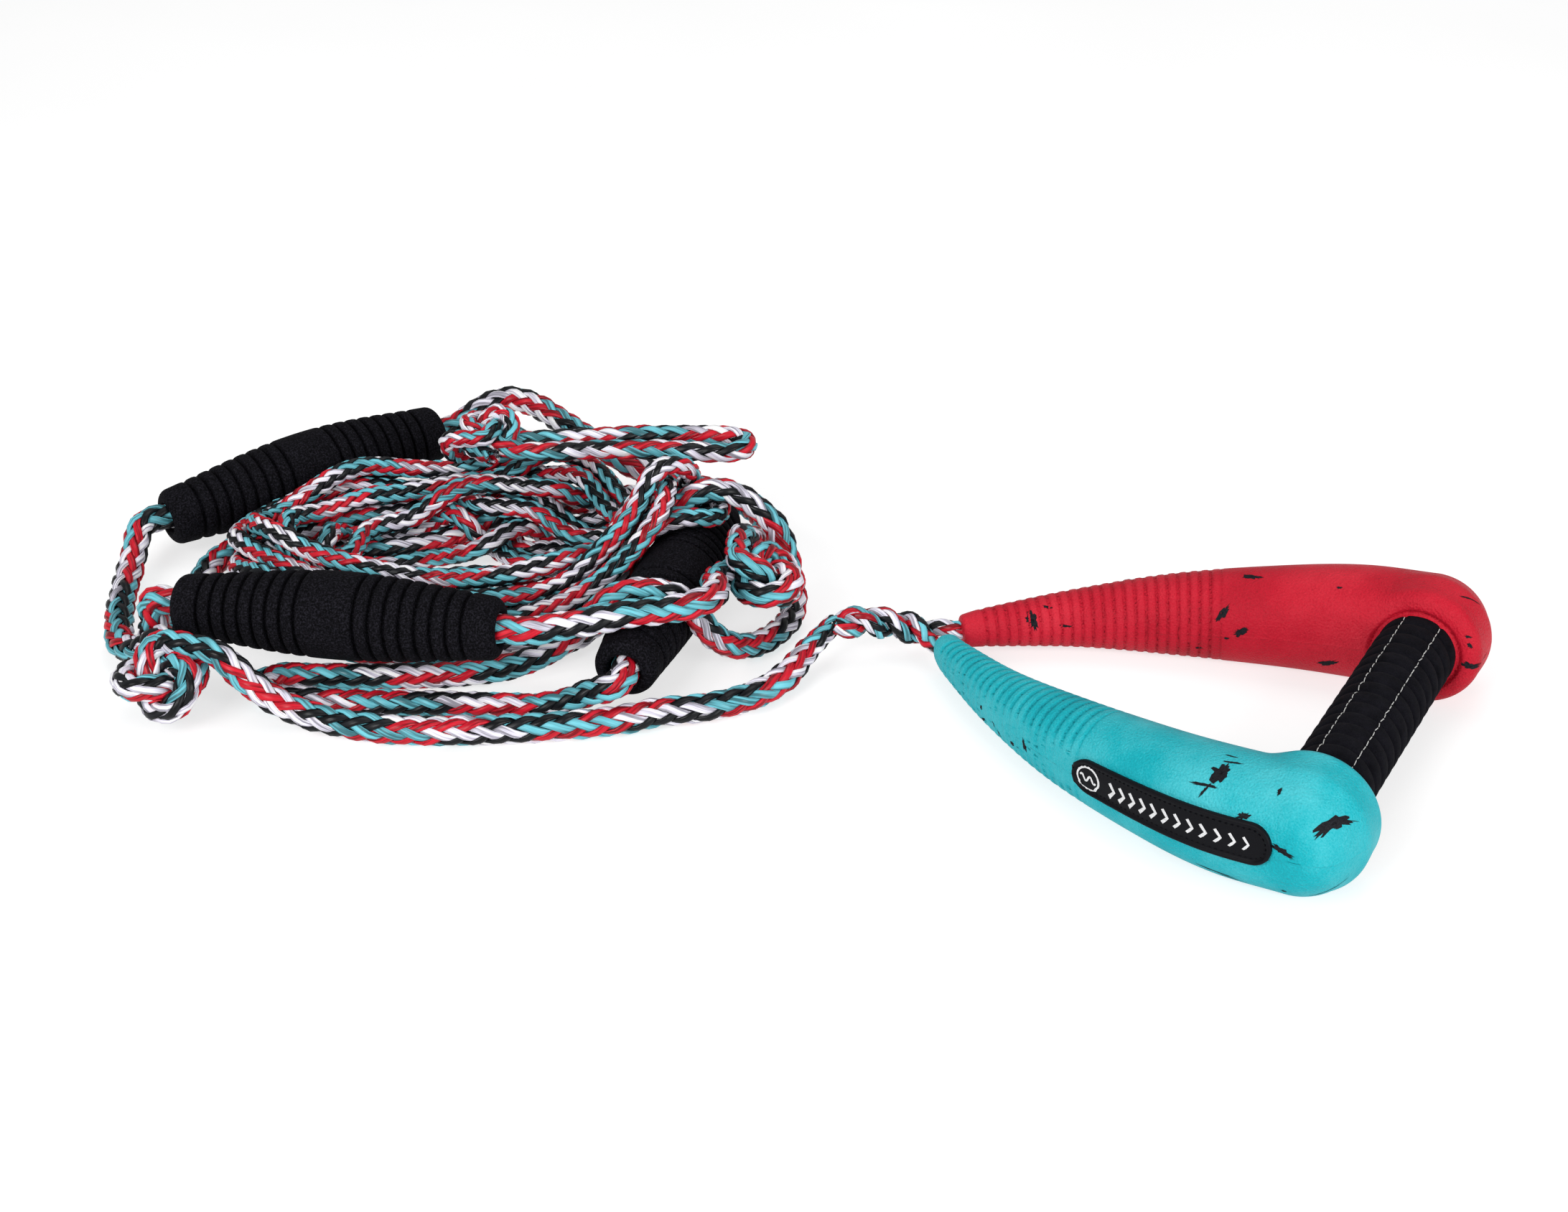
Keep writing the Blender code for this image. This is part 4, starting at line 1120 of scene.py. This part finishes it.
def motif_lines():
    """A generic mark: a ring holding one wave, then a row of chevrons that fades away."""
    ring_at, ring_r, thick = -33.5, 5.5, 0.95
    turn = np.linspace(0, 2 * math.pi, 49)
    yield np.stack([ring_at + ring_r * np.cos(turn), ring_r * np.sin(turn)], axis=1), thick
    x = np.linspace(-3.9, 3.9, 25)
    yield np.stack([ring_at + x, 1.5 * np.sin(x * 1.5)], axis=1), thick
    for k in range(CHEVRONS):
        tall = 3.4 - 0.06 * k
        y = np.array([-tall, -tall * 0.5, 0, tall * 0.5, tall])
        x = -22.5 + CHEVRON_STEP * k + (tall - np.abs(y)) * 0.70
        yield np.stack([x, y], axis=1), 1.45 - 0.04 * k


def motif_piece(name, field, mat, handle):
    strips = [ribbon(line, width) for line, width in motif_lines()]
    points, faces = merged([(on_badge(field, strip.reshape(-1, 2), MARK_LIFT),
                             band_faces(len(strip), 2, closed=False)) for strip in strips])
    obj = new_mesh(name, points * MM, faces, [mat])
    flip_if_inward(obj, field)
    return place_on_handle(obj, handle)


def capsule(start, end, out, radius, arch, rows=STITCH_ROWS, sides=STITCH_SIDES):
    """A short stitch from start to end, its ends sunk and its middle lifted."""
    share = np.linspace(0, 1, rows)[:, None]
    lift = np.sin(math.pi * share) ** 0.6 * arch
    line = start + (end - start) * share + out * lift
    way = unit(end - start)
    side = unit(np.cross(way, out))
    fat = radius * np.sqrt(np.clip(1 - (2 * share - 1) ** 6, 0.05, 1))
    turn = np.arange(sides) * 2 * math.pi / sides
    section = np.cos(turn)[:, None] * side + np.sin(turn)[:, None] * out
    points = line[:, None] + fat[:, None] * section
    return points.reshape(-1, 3), band_faces(rows, sides)


def rim_stitches(name, field, mat, handle):
    """A line of dashes just inside the badge's rim."""
    line = stadium(RIM_STITCH_INSET, 168)
    inner = on_badge(field, line, BADGE_FACE)
    above = unit(on_badge(field, line, BADGE_FACE + 1) - inner)
    points, faces = merged([capsule(inner[k], inner[k + 1], above[k], 0.26, 0.10, 5, 5)
                            for k in range(0, len(line), 2)])
    return handle_mesh(name, points, faces, mat, handle)


# ---- grip

def grip_radius(v, turn):
    """The suede cover in millimetres: scalloped over its core, taut beside the seam."""
    share = (v / CORE_RING_MM + 0.25) % 1.0
    valley = np.exp(-((np.minimum(share, 1 - share)) / 0.085) ** 2)
    puff = np.sin(math.pi * share) ** 0.7
    taut = 0.75 - 0.25 * np.tanh((np.cos(turn - math.radians(9)) - math.cos(math.radians(24))) * 12)
    seams = sum(np.exp(-((turn - math.radians(a)) / 0.05) ** 2) for a in SEAM_ANGLES)
    crease = 0.10 * np.sin(v * 0.9 + 3 * np.sin(turn * 2)) * np.sin(turn * 5 + v * 0.2)
    radius = GRIP_R - 0.85 + taut * (0.95 * puff - 0.55 * valley) + (1 - taut) * 0.45
    return radius - 0.35 * seams + crease * 0.5


def bar_place(v, turn, radius):
    """A point round the bar in handle millimetres; the turn runs from up towards the far side."""
    return np.stack([BAR_U + radius * np.sin(turn), v + 0 * turn, radius * np.cos(turn)],
                    axis=-1)


def grip_piece(mat, handle):
    rows, columns = 280, 144
    v = np.linspace(-GRIP_HALF, GRIP_HALF, rows)[:, None]
    turn = np.linspace(-math.pi, math.pi, columns, endpoint=False)[None, :]
    points = bar_place(v, turn, grip_radius(v, turn))
    return handle_mesh("suede_grip", points.reshape(-1, 3), band_faces(rows, columns), mat,
                       handle)


def seam_piece(mat, handle):
    """Two lines of lock stitches along the grip, a little uneven."""
    rng = np.random.default_rng(12)
    stitches, uvs = [], []
    for angle in SEAM_ANGLES:
        v = -COLLAR_END + 1.0
        for k, wobble in enumerate(rng.uniform(-1, 1, 80)):
            if v >= COLLAR_END - 2:
                break
            length = STITCH_MM + 0.5 * wobble
            lean = 0.009 * (1 if k % 2 else -1) + 0.010 * wobble
            turns = math.radians(angle) + np.array((lean, -lean))
            places = np.array((v, v + length))
            ends = bar_place(places, turns, grip_radius(places, turns) + 0.18)
            out = unit(bar_place(0.0, turns[0], 1.0) - (BAR_U, 0, 0))
            stitches.append(capsule(*ends, out, 0.21, 0.30))
            along = np.arange(STITCH_ROWS) * length * MM / (STITCH_ROWS - 1)
            uvs.append(tube_uv(stitches[-1][1], STITCH_SIDES, along, 0.25 * MM))
            v += length + STITCH_GAP_MM
    points, faces = merged(stitches)
    return handle_mesh("grip_stitches", points, faces, mat, handle, None, np.vstack(uvs))


# ---- the handle's pieces

def build_arms(handle):
    # dark, middle and light foam colours; the dark end is reached through the painted shade in the
    # grooves, and the darker mottling leans towards it
    colours = {"red": ((0.28, 0.002, 0.010), (0.55, 0.008, 0.026), (0.76, 0.032, 0.056)),
               "teal": ((0.002, 0.23, 0.29), (0.006, 0.43, 0.50), (0.11, 0.63, 0.70))}
    paint = paint_material()
    vinyl = vinyl_material("badge_vinyl", (0.003, 0.003, 0.005), 0.46)
    mark = vinyl_material("badge_mark", (0.75, 0.75, 0.76), 0.45)
    for name, sign, flecks in (("red", 1, RED_FLECKS), ("teal", -1, TEAL_FLECKS)):
        field = ArmField(sign)
        skin = arm_piece(f"foam_arm_{name}", field, arm_material(f"{name}_foam", *colours[name]),
                         handle)
        stand_in(skin, f"arm_{name}", f"{name}_foam")
        fleck_piece(f"flecks_{name}", field, flecks, paint, handle, 3 + sign)
        badge = badge_piece(f"soft_badge_{name}", field, vinyl, handle)
        stand_in(badge, f"badge_{name}", "badge")
        motif_piece(f"badge_mark_{name}", field, mark, handle)
        rim_stitches(f"badge_stitches_{name}", field, vinyl, handle)


def build_grip(nodes, handle):
    stand_in(grip_piece(suede_material(), handle), "grip_cover", "suede")
    seam_piece(thread_material("grey_thread", (0.62, 0.62, 0.60)), handle)
    hidden = {"grip_tube": (metal_material(), "tube"),
              "grip_core": (vinyl_material("ribbed_core", (0.03, 0.03, 0.03), 0.7), "grip_core"),
              "end_plug_red": (vinyl_material("nylon_bush", (0.80, 0.80, 0.76), 0.4), "nylon")}
    hidden["end_plug_teal"] = hidden["end_plug_red"]
    for name, (mat, slot) in hidden.items():
        nodes[name].data.materials.clear()
        nodes[name].data.materials.append(mat)


# ---- stage and camera

def add_lamp(name, place, aim, power, size):
    lamp = bpy.data.lights.new(name, "AREA")
    lamp.energy = power
    lamp.size = size
    obj = linked(name, lamp)
    obj.location = place
    obj.rotation_euler = (Vector(aim) - Vector(place)).to_track_quat("-Z", "Y").to_euler()


def floor_material():
    n = Nodes("pale_floor")
    mottle = n.noise(n.object_place(), 3.0, 2.0)
    tone = n.ramp(mottle, [(0.3, (0.48, 0.48, 0.48)), (0.7, (0.52, 0.52, 0.52))])
    seen = n.add("LightPath").outputs["Is Camera Ray"]
    return n.finish(Base_Color=tone, Roughness=0.8, Specular_IOR_Level=0.1,
                    Emission_Color=(1, 1, 1, 1),
                    Emission_Strength=n.span(seen, FLOOR_GLOW, FLOOR_GLOW_SEEN))


def build_stage():
    """A plain pale floor, a white surround, and wide soft lights from above."""
    corners = FLOOR_HALF * np.array([(-1, -1, 0), (1, -1, 0), (1, 1, 0), (-1, 1, 0)])
    floor = new_mesh("studio_floor", corners, np.arange(4)[None, :], [floor_material()])
    n = Nodes("studio", "worlds", "Background")
    seen = n.add("LightPath").outputs["Is Camera Ray"]
    bpy.context.scene.world = n.finish(Color=(1, 1, 1, 1), Strength=n.span(seen, FILL_LIGHT, 1.0))
    for lamp in LAMPS:
        add_lamp(*lamp)


def add_camera():
    """The viewing angle: 30 degrees down, from straight in front."""
    camera = bpy.data.cameras.new("camera")
    camera.lens = LENS_MM
    camera.sensor_width = 36.0
    obj = linked("camera", camera)
    back = Vector((0, -math.cos(LOOKING_DOWN), math.sin(LOOKING_DOWN)))
    obj.location = Vector(CAMERA_TARGET) + back * CAMERA_DISTANCE
    obj.rotation_euler = (math.pi / 2 - LOOKING_DOWN, 0, 0)
    bpy.context.scene.camera = obj
    bpy.context.scene.view_settings.view_transform = "Standard"


# ---- all together

def clear_scene():
    for obj in list(bpy.data.objects):
        bpy.data.objects.remove(obj, do_unlink=True)


def main():
    clear_scene()
    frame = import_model()
    nodes = frame["nodes"]
    hinge = {j["name"]: np.array(j["pos_m"]) for j in frame["joints"] if j["type"] == "hinge"}
    handle = (Matrix.Translation(Vector(hinge["handle_lift"]))
              @ Matrix.Rotation(HEADING, 4, "Z") @ Matrix.Rotation(-TILT, 4, "Y"))
    yarns = [yarn_material("white_yarn", (0.80, 0.765, 0.90)),
             yarn_material("teal_yarn", (0.13, 0.46, 0.54), 0.3),
             yarn_material("red_yarn", (0.52, 0.008, 0.022), 0.25),
             yarn_material("black_yarn", (0.005, 0.006, 0.008), 0.25)]
    rope_pieces(nodes, hinge, yarns)
    bridle_pieces(nodes, hinge, yarns, handle)
    loop_pieces(nodes, hinge, yarns)
    build_floats(nodes, float_material())
    build_arms(handle)
    build_grip(nodes, handle)
    build_stage()
    add_camera()


main()
